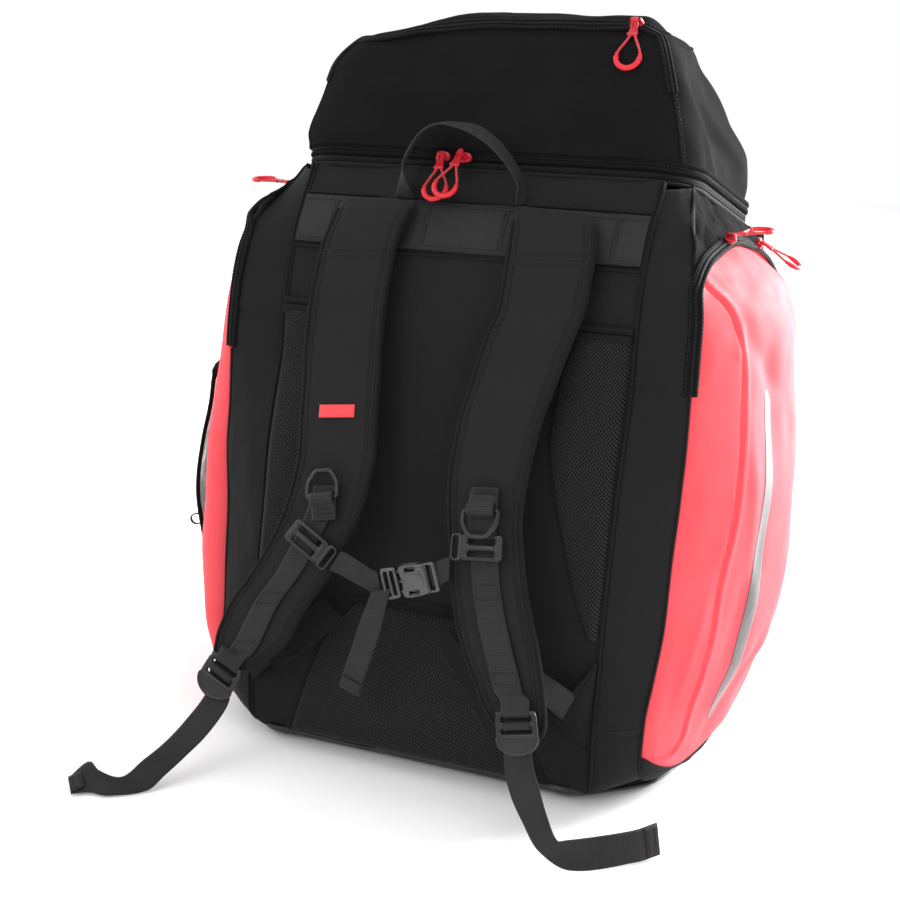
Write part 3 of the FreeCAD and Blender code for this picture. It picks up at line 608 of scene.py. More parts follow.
def fabric(name, dark, light, pitch=0.7, rough=(0.72, 0.9), sheen=0.25, bump=0.35, mottled=22.0, tint=(1, 1, 1), spec=0.10, weave_dist=0.00018):
    n = NT(name)
    w = weave(n, pitch)
    big = n.noise(mottled, 3)
    fine = n.noise(900.0, 2)
    # Colour mixes random mottling with the weave height: darker in the weave's troughs and lighter on its crests, which
    # is painted shade.
    f = n.math("ADD", n.math("MULTIPLY", w, 0.45), n.math("ADD", n.math("MULTIPLY", big, 0.35), n.math("MULTIPLY", fine, 0.35)))
    col = n.ramp(f, [(0.25, dark), (0.95, light)])
    nb = n.bump(n.noise(260.0, 3), 0.12, 0.0006)
    nb = n.bump(w, bump, weave_dist, nb)
    r = n.map(big, 0.3, 0.7, rough[0], rough[1])
    return n.done(col, r, nb, Sheen_Weight=sheen, Sheen_Roughness=0.45, Sheen_Tint=tuple(tint) + (1,), Specular_IOR_Level=spec)


M = {}
M["black"] = fabric("fabric_black", (0.0055, 0.0055, 0.006), (0.0175, 0.0175, 0.0185), sheen=0.03)
M["panel"] = fabric("panel_black", (0.0055, 0.0055, 0.006), (0.0175, 0.0175, 0.0185), pitch=0.9, sheen=0.02)
M["softshell"] = fabric("softshell_black", (0.005, 0.005, 0.0054), (0.0135, 0.0135, 0.0143), pitch=0.5, sheen=0.004, bump=0.2, rough=(0.74, 0.9), spec=0.008)
M["strap"] = fabric("strap_black", (0.0062, 0.0062, 0.0068), (0.0205, 0.0205, 0.0215), pitch=0.85, sheen=0.04)
M["binding"] = fabric("binding_black", (0.0045, 0.0045, 0.005), (0.0135, 0.0135, 0.0145), pitch=0.6, sheen=0.02, bump=0.6)
M["lining"] = fabric("lining_grey", (0.05, 0.05, 0.054), (0.085, 0.085, 0.09), pitch=0.6, sheen=0.05)


def red_fabric():
    n = NT("fabric_red")
    w = weave(n, 0.45)
    u, v = n.uv()
    # ripstop grid: a thicker thread every 3.2 mm both ways
    gu = n.math("GREATER_THAN", n.wave(u, 3.2), 0.985)
    gv = n.math("GREATER_THAN", n.wave(v, 3.2), 0.985)
    grid = n.math("MAXIMUM", gu, gv)
    big = n.noise(9.0, 3)
    mid = n.noise(60.0, 3)
    # Colour is mostly random mottling; the weave term makes it darker in the weave's troughs and lighter on its crests,
    # which is painted shade.
    f = n.math("ADD", n.math("MULTIPLY", big, 0.55), n.math("ADD", n.math("MULTIPLY", mid, 0.25), n.math("MULTIPLY", w, 0.2)))
    col = n.ramp(f, [(0.3, (0.75, 0.064, 0.078)), (0.7, (0.85, 0.098, 0.116))])
    col = n.mixc(n.math("MULTIPLY", grid, 0.22), col, (0.62, 0.04, 0.055))
    nb = n.bump(mid, 0.10, 0.0012)
    nb = n.bump(n.math("ADD", w, n.math("MULTIPLY", grid, 1.2)), 0.3, 0.00014, nb)
    r = n.map(mid, 0.3, 0.7, 0.5, 0.66)
    return n.done(col, r, nb, Sheen_Weight=0.03, Sheen_Roughness=0.4, Sheen_Tint=(1.0, 0.5, 0.54, 1), Specular_IOR_Level=0.07)


M["red"] = red_fabric()


def webbing_mat(name, dark, light, pitch=1.6):
    """Ribbed webbing: UV v runs along it, u across."""
    n = NT(name)
    u, v = n.uv()
    a = n.wave(v, pitch)
    b = n.wave(u, 0.9)
    twill = n.math("ABSOLUTE", n.math("SINE", n.math("MULTIPLY", n.math("ADD", n.math("MULTIPLY", v, 2.0), u), math.pi / 1.25)))
    h = n.math("ADD", n.math("MULTIPLY", a, 0.6), n.math("ADD", n.math("MULTIPLY", b, 0.2), n.math("MULTIPLY", twill, 0.2)))
    big = n.noise(30.0, 3)
    # Colour follows the rib and twill height: near-black in the grooves, which is painted shade, and light on the rib
    # crests, which is painted highlight; the noise adds random tone.
    col = n.ramp(n.math("ADD", n.math("MULTIPLY", h, 0.7), n.math("MULTIPLY", big, 0.3)), [(0.15, dark), (0.95, light)])
    nb = n.bump(h, 0.55, 0.0003)
    return n.done(col, n.map(h, 0, 1, 0.75, 0.5), nb, Sheen_Weight=0.03, Sheen_Roughness=0.4, Specular_IOR_Level=0.18)


M["web"] = webbing_mat("webbing_black", (0.0018, 0.0018, 0.002), (0.031, 0.031, 0.033))
M["web_fine"] = webbing_mat("webbing_fine", (0.0018, 0.0018, 0.002), (0.031, 0.031, 0.033), 1.3)


def air_mesh(name="air_mesh", pitch=(3.05, 3.5)):
    """Spacer mesh: rows of small open diamond cells, from the object's own x and z; the open cells are painted
    near-black, which is painted shade in the holes.
    """
    n = NT(name)
    o = n.obj()
    x = n.math("MULTIPLY", o[0], 1000 * math.pi * 2 / pitch[0])
    z = n.math("MULTIPLY", o[2], 1000 * math.pi * 2 / pitch[1])
    a = n.math("COSINE", n.math("MULTIPLY", n.math("ADD", x, z), 0.5))
    b = n.math("COSINE", n.math("MULTIPLY", n.math("SUBTRACT", x, z), 0.5))
    p = n.math("MULTIPLY", a, b)                 # 1 at the cell centres
    p = n.math("MAXIMUM", p, n.math("MULTIPLY", p, -1.0))
    hole = n.map(p, 0.30, 0.50, 0.0, 1.0)
    fine = n.noise(1500.0, 2)
    yarn = n.ramp(fine, [(0.3, (0.012, 0.012, 0.0125)), (0.75, (0.034, 0.034, 0.0355))])
    # Near-black colour in the cells is painted shade where the holes are.
    col = n.mixc(hole, yarn, (0.0006, 0.0006, 0.0007))
    h = n.math("SUBTRACT", 1.0, hole)
    nb = n.bump(fine, 0.3, 0.0002)
    nb = n.bump(h, 0.8, 0.0009, nb)
    return n.done(col, n.map(hole, 0, 1, 0.6, 0.95), nb, Sheen_Weight=0.03, Specular_IOR_Level=0.12)


M["mesh"] = air_mesh()


def open_mesh():
    n = NT("open_mesh")
    u, v = n.uv()
    x = n.math("MULTIPLY", u, math.pi / 2.6)
    z = n.math("MULTIPLY", v, math.pi / 2.6)
    a = n.math("ABSOLUTE", n.math("SINE", n.math("ADD", x, z)))
    b = n.math("ABSOLUTE", n.math("SINE", n.math("SUBTRACT", x, z)))
    thread = n.math("MAXIMUM", a, b)
    al = n.map(thread, 0.80, 0.88, 0.0, 1.0)
    fine = n.noise(1200.0, 2)
    col = n.ramp(fine, [(0.3, (0.012, 0.012, 0.013)), (0.8, (0.035, 0.035, 0.037))])
    n.link(al, n.b.inputs["Alpha"])
    return n.done(col, n.map(fine, 0, 1, 0.55, 0.75), n.bump(thread, 0.4, 0.0003))


M["open_mesh"] = open_mesh()


def plastic(name, dark, light, rough=(0.25, 0.4), grain=0.12, coat=0.0, spec=0.5):
    n = NT(name)
    g = n.noise(1400.0, 2)
    s = n.noise(45.0, 4, dist=0.3)
    col = n.ramp(n.math("ADD", n.math("MULTIPLY", g, 0.4), n.math("MULTIPLY", s, 0.6)), [(0.3, dark), (0.75, light)])
    return n.done(col, n.map(s, 0.3, 0.7, rough[0], rough[1]), n.bump(g, grain, 0.00012), Coat_Weight=coat, Coat_Roughness=0.12, Specular_IOR_Level=spec)


M["hard"] = plastic("hardware", (0.006, 0.006, 0.0065), (0.0125, 0.0125, 0.0135), (0.26, 0.42), spec=0.4)
M["buckle"] = plastic("buckle", (0.012, 0.012, 0.013), (0.022, 0.022, 0.024), (0.14, 0.24), grain=0.04, coat=0.5, spec=0.6)
M["redhard"] = plastic("red_hard", (0.46, 0.008, 0.018), (0.58, 0.016, 0.03), (0.2, 0.34), grain=0.05, coat=0.15, spec=0.35)
M["redgrip"] = plastic("red_grip", (0.58, 0.012, 0.024), (0.70, 0.024, 0.04), (0.3, 0.44), grain=0.08, coat=0.05, spec=0.3)


def cord_mat():
    n = NT("red_cord")
    o = n.tc.outputs["Object"]
    w = n.noise(1800.0, 2)
    v = n.voronoi(1500.0)
    col = n.ramp(n.math("ADD", n.math("MULTIPLY", w, 0.5), n.math("MULTIPLY", v, 0.6)), [(0.25, (0.42, 0.008, 0.018)), (0.8, (0.64, 0.024, 0.04))])
    return n.done(col, n.map(w, 0, 1, 0.5, 0.7), n.bump(v, 0.5, 0.0002), Sheen_Weight=0.15)


M["cord"] = cord_mat()


def coated():
    n = NT("base_coated")
    s = n.noise(60.0, 4, dist=0.4)
    g = n.noise(700.0, 3)
    v = n.voronoi(420.0, "DISTANCE_TO_EDGE")
    col = n.ramp(s, [(0.3, (0.011, 0.0115, 0.013)), (0.75, (0.026, 0.027, 0.030))])
    nb = n.bump(v, 0.12, 0.0003)
    nb = n.bump(n.math("ADD", s, n.math("MULTIPLY", g, 0.2)), 0.15, 0.0006, nb)
    return n.done(col, n.map(s, 0.3, 0.7, 0.30, 0.42), nb, Specular_IOR_Level=0.4)


M["coated"] = coated()


def silver():
    n = NT("reflective_print")
    v = n.voronoi(2200.0)
    g = n.noise(120.0, 3)
    col = n.ramp(n.math("ADD", n.math("MULTIPLY", v, 0.4), n.math("MULTIPLY", g, 0.6)), [(0.3, (0.085, 0.083, 0.084)), (0.75, (0.13, 0.127, 0.129))])
    return n.done(col, n.map(g, 0.3, 0.7, 0.3, 0.42), n.bump(v, 0.2, 0.0001), Metallic=0.35, Specular_IOR_Level=0.5)


M["silver"] = silver()


def zip_mat():
    """Woven tape; u across, v along."""
    n = NT("zip_tape")
    u, v = n.uv()
    a = n.wave(v, 0.8)
    big = n.noise(40.0, 3)
    # Colour follows the tape's ribs: darker in the grooves between them, which is painted shade, plus random mottling.
    col = n.ramp(n.math("ADD", n.math("MULTIPLY", a, 0.6), n.math("MULTIPLY", big, 0.4)), [(0.2, (0.003, 0.003, 0.0034)), (0.9, (0.0115, 0.0115, 0.0125))])
    return n.done(col, n.map(a, 0, 1, 0.85, 0.75), n.bump(a, 0.4, 0.0002), Specular_IOR_Level=0.05)


M["zip"] = zip_mat()


def coil_mat():
    n = NT("zip_coil")
    u, v = n.uv()
    a = n.wave(v, 1.0)
    # Colour follows the coil's teeth: near-black in the gaps between teeth, which is painted shade, and lighter on the
    # teeth.
    col = n.ramp(a, [(0.1, (0.002, 0.002, 0.002)), (0.9, (0.018, 0.018, 0.0195))])
    return n.done(col, n.map(a, 0, 1, 0.75, 0.6), n.bump(a, 0.8, 0.0005), Specular_IOR_Level=0.08)


M["coil"] = coil_mat()


def thread_mat():
    n = NT("thread_black")
    f = n.noise(2500.0, 2)
    col = n.ramp(f, [(0.2, (0.009, 0.009, 0.0095)), (0.85, (0.026, 0.026, 0.0275))])
    return n.done(col, n.map(f, 0, 1, 0.45, 0.65), n.bump(f, 0.5, 0.0001), Specular_IOR_Level=0.2)


M["thread"] = thread_mat()


def red_patch():
    n = NT("red_patch")
    w = weave(n, 0.5)
    f = n.noise(300.0, 3)
    # Colour mixes random mottling with the weave height: darker in the weave's troughs, which is painted shade.
    col = n.ramp(n.math("ADD", n.math("MULTIPLY", w, 0.5), n.math("MULTIPLY", f, 0.5)), [(0.2, (0.66, 0.02, 0.03)), (0.85, (0.82, 0.05, 0.06))])
    return n.done(col, n.map(f, 0, 1, 0.45, 0.62), n.bump(w, 0.4, 0.0002), Sheen_Weight=0.1)


M["patch"] = red_patch()


def floor_mat():
    n = NT("floor")
    s = n.noise(3.0, 3)
    col = n.ramp(s, [(0.3, (0.92, 0.92, 0.92)), (0.75, (0.95, 0.95, 0.95))])
    return n.done(col, n.map(s, 0, 1, 0.85, 0.95), None, Specular_IOR_Level=0.1)

# ---------------------------------------------------------------------------
# tables of the bag, in mm, the same as the CAD's
# ---------------------------------------------------------------------------
PANEL = [(0, -171), (21, -171), (57, -170), (110, -159), (171, -147), (220, -135), (268, -124), (308, -110), (354, -93),
         (397, -85), (411, -81), (441, -71), (457, -64), (483, -47), (504, -30), (517, -21), (540, -15)]
SEAM_X = [(0, 196), (20, 203), (45, 205), (80, 207), (113, 210), (159, 214), (208, 215), (265, 218), (345, 219), (408, 218), (441, 214), (463, 212)]
SEAM_Y = [(0, -112), (20, -140), (45, -152), (80, -151), (113, -140), (159, -128), (208, -119), (265, -111), (301, -103),
          (329, -99), (353, -96), (382, -91), (408, -85), (441, -77), (463, -62)]
FAR_Y = [(0, 158), (20, 172), (45, 180), (110, 192), (200, 200), (300, 203), (400, 200), (460, 197)]
BULGE = [(0, 24), (20, 34), (45, 40), (60, 42), (110, 50.5), (170, 54), (230, 55), (290, 54), (360, 53)]
ZIP_TOP = [(-100, 430), (-77, 441), (-40, 456), (23, 460), (90, 448), (157, 427), (200, 404)]
LIFT = {1: 0.0, -1: 22.0}
SIDE = {1: "right", -1: "left"}
FLAP_Z = 345.0
py = tabf(PANEL)
sx, sy, fy, bul, zt = tabf(SEAM_X), tabf(SEAM_Y), tabf(FAR_Y), tabf(BULGE), tabf(ZIP_TOP)


def under(P):
    """The lower edge of the bag rounds inwards over its last 30 mm."""
    P = arr(P).copy()
    f = np.clip((30 - P[..., 2]) / 30, 0, 1)
    off = 17 * f ** 2.3
    P[..., 0] *= 1 - off / 200
    P[..., 1] *= 1 - off / 168
    return P


def rim_z(y):
    return 517 - 0.3186 * (y + 21)


def pn(z):
    """Outward normal of the strap-side panel at height z."""
    z = arr(z)
    d = (py(z + 1.0) - py(z - 1.0)) / 2.0
    n = np.stack([np.zeros_like(d), -np.ones_like(d), d], -1)
    return unit(n)


def on_panel(x, z, off=0.0):
    x, z = np.broadcast_arrays(arr(x), arr(z))
    p = np.stack([x, py(z), z], -1)
    return p + pn(z) * off


def stitch_line(mb, path, normals=None, pitch=3.6, length=2.5, r=0.38, lift=0.15):
    """Thread stitches along a path, each a small rounded strand."""
    path = arr(path)
    d = np.r_[0, np.cumsum(np.linalg.norm(np.diff(path, axis=0), axis=1))]
    n = max(1, int(d[-1] // pitch))
    cs = (np.arange(n) + 0.5) * d[-1] / n
    c = np.stack([np.interp(cs, d, path[:, k]) for k in range(3)], 1)
    c2 = np.stack([np.interp(np.minimum(cs + 0.6, d[-1]), d, path[:, k]) for k in range(3)], 1)
    c1 = np.stack([np.interp(np.maximum(cs - 0.6, 0), d, path[:, k]) for k in range(3)], 1)
    T = unit(c2 - c1)
    if normals is None:
        N = unit(np.cross(T, np.roll(T, 1, 0) + arr([0.01, 0.02, 0.03])))
    else:
        normals = np.broadcast_to(arr(normals), path.shape)
        N = unit(np.stack([np.interp(cs, d, normals[:, k]) for k in range(3)], 1))
    N = unit(N - (N * T).sum(1, keepdims=True) * T)
    B = np.cross(T, N)
    c = c + N * lift
    m = 6
    th = np.linspace(0, 2 * np.pi, m, endpoint=False)
    prof = [(-0.5, 0.35), (-0.36, 0.85), (0, 1.0), (0.36, 0.85), (0.5, 0.35)]
    rings = []
    for a, s in prof:
        drop = -abs(a) ** 2 * 1.6 * r
        q = c[:, None] + T[:, None] * (a * length) + (B[:, None] * np.cos(th)[None, :, None] + N[:, None] * np.sin(th)[None, :, None]) * (r * s) + N[:, None] * drop
        rings.append(q)
    R = np.stack(rings, 1)            # n, 5, m, 3
    k = len(prof)
    V = R.reshape(-1, 3)
    f = []
    for i in range(k - 1):
        for j in range(m):
            f.append((i * m + j, i * m + (j + 1) % m, (i + 1) * m + (j + 1) % m, (i + 1) * m + j))
    f = np.array(f)
    cap = np.array([(0, 3, 2, 1), (0, 5, 4, 3), ((k - 1) * m, (k - 1) * m + 1, (k - 1) * m + 2, (k - 1) * m + 3), ((k - 1) * m, (k - 1) * m + 3, (k - 1) * m + 4, (k - 1) * m + 5)])
    f = np.vstack([f, cap])
    F = (f[None] + (np.arange(n) * k * m)[:, None, None]).reshape(-1, 4)
    mb.add(V, [F], [np.zeros((len(F), 4, 2))])
    return mb


THREAD = {}


def thread(body):
    if body not in THREAD:
        THREAD[body] = MB()
    return THREAD[body]


def ribbon(mb, L, R, t, pitch=1.6, amp=0.18, cols=11, toward=None, step=0.42, mi=0, edge=0.25):
    """Woven strip between two edge curves, ribs across it on both faces.
    `toward`: the side where its thickness goes."""
    L, R = arr(L), arr(R)
    mid = (L + R) / 2
    n = max(8, int(path_len(curve_pts(mid, 200)) / step))
    Lc, Rc = curve_pts(L, n), curve_pts(R, n)
    s = np.linspace(0, 1, cols)
    P = Lc[:, None] * (1 - s[None, :, None]) + Rc[:, None] * s[None, :, None]
    N = gnormals(P)
    k = len(N) // 2
    sg = 1.0
    if toward is not None and (N[k, cols // 2] @ arr(toward)) > 0:
        sg = -1.0
    N = N * sg                         # outward: away from `toward`
    d = np.r_[0, np.cumsum(np.linalg.norm(np.diff((Lc + Rc) / 2, axis=0), axis=1))]
    rib = np.abs(np.sin(np.pi * d / pitch)) * amp
    e = (np.abs(s - 0.5) * 2)
    edgebump = edge * np.exp(-((e - 0.93) / 0.05) ** 2) - 0.35 * t * sstep(0.96, 1.0, e)
    top = P + N * (rib[:, None, None] + edgebump[None, :, None])
    bot = P - N * (t + rib[:, None, None] + edgebump[None, :, None])
    U = np.broadcast_to((s * np.linalg.norm(R[0] - L[0]))[None, :], (n, cols))
    W = np.broadcast_to(d[:, None], (n, cols))
    base = mb.n
    mb.shell(top, 0, inner=bot, mi=mi)
    return mb, top, N


# ---------------------------------------------------------------------------
# zip pulls: cords first
# ---------------------------------------------------------------------------
LOOP = [(-1.7, -14.2), (-4.6, -20.5), (-9.0, -27.0), (-11.5, -34.5), (-8.6, -42.0), (-1.0, -45.6), (7.2, -42.6),
        (10.8, -35.5), (8.6, -27.5), (4.6, -20.5), (1.7, -14.2)]
PULLS = {
    "rim_left": ((-35, -25.4, 526), (0.9950, 0.0584, 0.0806), (-0.0995, 0.5835, 0.8060), (0, -0.81, 0.5864), 6.6, "rim_pull_left", "rim_tab_left", "rim_cord_left"),
    "rim_right": ((-14, -25.4, 526), (0.9874, -0.0926, -0.1280), (0.1580, 0.5790, 0.7998), (0, -0.81, 0.5864), 12.8, "rim_pull_right", "rim_tab_right", "rim_cord_right"),
    "hood": ((126, 14.71, 645.44), (1, 0, 0), (0, 0.5, 0.866), (0, -0.866, 0.5), 0.0, "hood_pull", "hood_tab", "hood_cord"),
    "right_front": ((217.63, 16, 467.65), (-0.8530, 0.5219, 0), (-0.5218, -0.8529, -0.0201), (-0.0105, -0.0171, 0.9998), 0.0, "pocket_pull_right_front", "pocket_tab_right_front", "pocket_cord_right_front"),
    "right_rear": ((217.78, 118, 448.11), (-0.1070, 0.9920, 0.0669), (-0.8412, -0.1262, 0.5258), (0.5300, 0, 0.8480), 0.0, "pocket_pull_right_rear", "pocket_tab_right_rear", "pocket_cord_right_rear"),
    "left_front": ((-217.63, 16, 489.65), (-0.2545, -0.9671, 0), (0.9671, -0.2545, 0), (0, 0, 1), 0.0, "pocket_pull_left_front", "pocket_tab_left_front", "pocket_cord_left_front"),
    "left_rear": ((-217.78, 118, 470.11), (-0.1070, -0.9920, -0.0669), (0.8412, -0.1262, 0.5258), (-0.5300, 0, 0.8480), 0.0, "pocket_pull_left_rear", "pocket_tab_left_rear", "pocket_cord_left_rear"),
}
PFR = {}
for key, (piv, ax, ay, az_, zo, body, tab, cordn) in PULLS.items():
    fr = Fr(piv, ax, ay)
    PFR[key] = fr
    pts = fr(arr([(x, y, zo) for x, y in LOOP]))
    cu = bpy.data.curves.new("cord_" + key, "CURVE")
    cu.dimensions = "3D"
    sp = cu.splines.new("NURBS")
    sp.points.add(len(pts) - 1)
    for q, p in zip(sp.points, pts):
        q.co = (p[0] * MM, p[1] * MM, p[2] * MM, 1)
    sp.order_u = 3
    sp.use_endpoint_u = True
    cu.resolution_u = 8
    line = bpy.data.objects.new("line_tmp", cu)
    SCENE.collection.objects.link(line)
    bpy.context.view_layer.update()
    me = bpy.data.meshes.new_from_object(line.evaluated_get(bpy.context.evaluated_depsgraph_get()))
    route = arr([v.co[:] for v in me.vertices]) / MM
    bpy.data.meshes.remove(me)
    bpy.data.objects.remove(line)
    clen = path_len(route)
    cu.bevel_depth = 0.0011
    cu.bevel_resolution = 4
    cu.materials.append(M["cord"])
    ob = bpy.data.objects.new("cord_" + key, cu)
    SCENE.collection.objects.link(ob)
    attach(ob, body)
    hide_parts(cordn)
    # moulded grip round the lower part of the loop
    d = np.r_[0, np.cumsum(np.linalg.norm(np.diff(route, axis=0), axis=1))] / clen
    q = np.linspace(0.25, 0.75, 46)
    g = np.stack([np.interp(q, d, route[:, k]) for k in range(3)], 1)
    s = (q - 0.25) / 0.5
    rad = 1.15 + 1.25 * sstep(0.0, 0.10, s) * sstep(0.0, 0.10, 1 - s)
    mb = MB().tube(g, rad, n=16, up=fr.z, ry=rad * 0.88)
    # small collars at both ends of the moulding
    for a in (1, 44):
        c = g[a]
        t_ = unit(g[min(a + 1, 45)] - g[max(a - 1, 0)])
        mb.tube([c - t_ * 0.9, c - t_ * 0.3, c + t_ * 0.3, c + t_ * 0.9], [1.5, 1.95, 1.95, 1.5], n=14, up=fr.z)
    grip = mb.build("grip_" + key, M["redgrip"], body, "red_tab")
    # tab: waisted plate with a groove, an eye at the slider and a barrel at the cord
    mb = MB()
    tfr = fr.shift((0, 0, zo))
    outline = [(-2.4, 1.2), (-3.3, -1.4), (-3.0, -4.5), (-3.2, -8.5), (-4.2, -12.0), (-4.4, -13.2), (-3.6, -14.0),
               (3.6, -14.0), (4.4, -13.2), (4.2, -12.0), (3.2, -8.5), (3.0, -4.5), (3.3, -1.4), (2.4, 1.2), (1.2, 2.3), (-1.2, 2.3)]
    hole = [(-1.5, -2.4), (-1.5, -3.0), (-1.2, -9.2), (1.2, -9.2), (1.5, -3.0), (1.5, -2.4)]
    add_plate(mb, [outline, hole], 2.2, 0.55, tfr, z0=-1.1)
    mb.rbox((2.6, 7.4, 1.2), 0.5, tfr, (0, -5.8, 0))
    mb.tube(tfr(arr([(-4.0, -13.6, 0), (-2, -13.6, 0), (2, -13.6, 0), (4.0, -13.6, 0)])), 1.55, n=14)
    if key.startswith("rim"):
        mb.tube(tfr(arr([(0, 0, -1.15), (0, 0, 0), (0, 0, 1.15)])), 2.6, n=20)
    else:
        mb.tube(tfr(arr([(-2.8, 0, 0), (0, 0, 0), (2.8, 0, 0)])), 2.2, n=18)
    tb = mb.build("tab_" + key, M["redhard"], body, "red_tab", sharp=50, replaces=(tab,))


def slider_body(name, fr, body, node, post=None, scale=1.0):
    """Zip slider: lower and upper wings, bridge and a rail down each side. Local X along the zip, Z away from it."""
    mb = MB()
    s = scale
    out = [(-6.3 * s, -2.6 * s), (-4.6 * s, -4.0 * s), (0, -4.3 * s), (4.4 * s, -3.3 * s), (6.4 * s, -1.6 * s), (6.6 * s, 0),
           (6.4 * s, 1.6 * s), (4.4 * s, 3.3 * s), (0, 4.3 * s), (-4.6 * s, 4.0 * s), (-6.3 * s, 2.6 * s)]
    add_plate(mb, [out], 1.5, 0.5, fr, z0=0.0)
    add_plate(mb, [out], 1.6, 0.6, fr, z0=2.0)
    mb.rbox((3.0, 4.0, 2.2), 0.5, fr, (2.4 * s, 0, 1.8))
    for sy_ in (-1, 1):
        mb.tube(fr(arr([(-5.4 * s, sy_ * 3.9 * s, 2.6), (0, sy_ * 4.3 * s, 2.6), (5.0 * s, sy_ * 3.0 * s, 2.6)])), 0.75, n=8)
    if post is None:
        post(mb) if callable(post) else None
    return mb


for side, x, depth in (("left", -35.0, 5.4), ("right", -14.0, 11.6)):
    fr = Fr((x, -25.4, 526), (1, 0, 0), (0, 0.5864, 0.81))
    mb = slider_body("", fr, None, None)
    mb.tube(fr(arr([(0, 0, 3.2), (0, 0, 4.6), (0, 0, depth - 0.6), (0, 0, depth - 0.25)])), [3.6, 2.9, 2.0, 1.6], n=18)
    mb.tube(fr(arr([(0, 0, depth - 0.3), (0, 0, depth + 2.5), (0, 0, depth + 2.9)])), 1.05, n=14)
    mb.tube(fr(arr([(0, 0, depth + 2.65), (0, 0, depth + 3.2), (0, 0, depth + 3.5)])), [1.9, 1.9, 1.4], n=16)
    mb.build("slider_rim_" + side, M["redhard"], "rim_slider_" + side, "red_slider", sharp=50, replaces=("rim_slider_" + side,))

HNv = unit((0, -17.0, 20.0))


def lugs(mb, pfr, h):
    for s in (-1, 1):
        P = [(s * 3.9, 0, -h), (s * 3.9, 0, -h * 0.6), (s * 3.9, 0, 0), (s * 3.9, 0, 1.5)]
        mb.tube(pfr(arr(P)), [1.9, 1.6, 1.5, 1.2], n=12, up=pfr.y, ry=[2.2, 2.1, 2.0, 1.6])
    mb.tube(pfr(arr([(-4.4, 0, 0), (0, 0, 0), (4.4, 0, 0)])), 1.05, n=12)


fr = Fr((126, 19.5 + HNv[1] * 0.9, 639.8 + HNv[2] * 0.9), (1, 0, 0), (0, HNv[2], -HNv[1]))
mb = slider_body("", fr, None, None)
lugs(mb, PFR["hood"], 4.4)
mb.build("slider_hood", M["redhard"], "hood_slider", "red_slider", sharp=50, replaces=("hood_slider",))
for s in (1, -1):
    for tag, y, run, high in (("front", 16.0, (0, -63, -4), 6.4), ("rear", 118.0, (0, 39, -12.5), 7.2)):
        z = lin(ZIP_TOP, y) + LIFT[s]
        up = unit((0.18 * s, 0, 1.0))
        r = unit(run)
        fr = Fr((216.5 * s, y, z + 1.8), r, np.cross(up, r))
        mb = slider_body("", fr, None, None)
        lugs(mb, PFR[SIDE[s] + "_" + tag], high - 2.2)
        mb.build("slider_pocket_%s_%s" % (SIDE[s], tag), M["redhard"], "pocket_slider_%s_%s" % (SIDE[s], tag), "red_slider", sharp=50,
                 replaces=("pocket_slider_%s_%s" % (SIDE[s], tag),))

# ---------------------------------------------------------------------------
# strap-side panel
# ---------------------------------------------------------------------------
zz = np.linspace(4, 516, 200)
xx = np.linspace(-167.5, 167.5, 131)
X, Z = np.meshgrid(xx, zz)
P = on_panel(X, Z)
edge = sstep(0, 9, 167.5 - np.abs(X)) * sstep(0, 8, Z - 4)
d = fbm(P, 70, 3) * 1.6 + fbm(P, 26, 9, 2) * 0.5
d += crease(P, (-20, -100, 330), (-8, -150, 170), 9, 1.6) + crease(P, (28, -90, 380), (12, -140, 210), 12, -1.8)
d += crease(P, (-40, -80, 420), (20, -74, 430), 5, -1.0)
puff = 3.0 * (1 - (X / 167.5) ** 4) * sstep(0, 30, 440 - Z) * sstep(0, 40, Z - 10)
P = under(P + pn(Z) * ((d + puff * 0.6) * edge)[..., None])
mb = MB().shell(P, 4.0, mi_in=1)
mb.build("back_panel_fabric", [M["panel"], M["lining"]], "bag", "fabric_black", replaces=("back_panel",))

# piping down both edges of the panel
for s in (1, -1):
    zc = np.linspace(13, 514, 160)
    pts = under(on_panel(168.2 * s, zc, 0.2))
    pts[:, 0] += s * 0.5 * np.sin(zc / 37.0)
    fade = 0.25 + 0.75 * sstep(0, 16, zc - 13)
    mb = MB().tube(pts, 1.7 * fade, n=10)
    # welt that holds the cord
    mb.tube(under(on_panel(165.2 * s, zc, 0.2)), 1.5 * fade, n=8, up=pn(zc), ry=0.8 * fade)
    mb.build("piping_panel_" + SIDE[s], M["binding"], "bag", "fabric_black")


def pad(name, rows, h, mats, nodes, z_extra=(), crown=1.0, nz=90, nx=46, gap=0.2, edge_r=7.0, noise=0.5):
    """Padded shape on the panel: rows (x0, x1, z)."""
    rz = [r[2] for r in rows]
    z = np.linspace(rz[0], rz[-1], nz)
    x0 = pchip(rz, [r[0] for r in rows], z)
    x1 = pchip(rz, [r[1] for r in rows], z)
    s = np.linspace(0, 1, nx)
    s = 0.5 - 0.5 * np.cos(np.pi * s) if False else s
    X = x0[:, None] * (1 - s) + x1[:, None] * s
    Z = np.broadcast_to(z[:, None], X.shape)
    w = (x1 - x0)[:, None]
    dx = np.minimum(s[None] * w, (1 - s[None]) * w)
    dz = np.minimum(Z - rz[0], rz[-1] - Z)
    e = np.clip(np.minimum(dx, dz) / edge_r, 0, 1)
    prof = np.sqrt(1 - (1 - e) ** 2)
    body = crown * (1 - (2 * s[None] - 1) ** 2) * 0.22
    H = 0.6 + (h - 0.6) * prof * (0.82 + body)
    B = on_panel(X, Z, gap)
    H = H + fbm(B, 30, 21, 2) * noise * prof
    T = B + pn(Z) * H[..., None]
    mb = MB().shell(T, 0, inner=B)
    ob = mb.build(name, mats, "bag", "air_mesh", replaces=nodes)
    return T, H


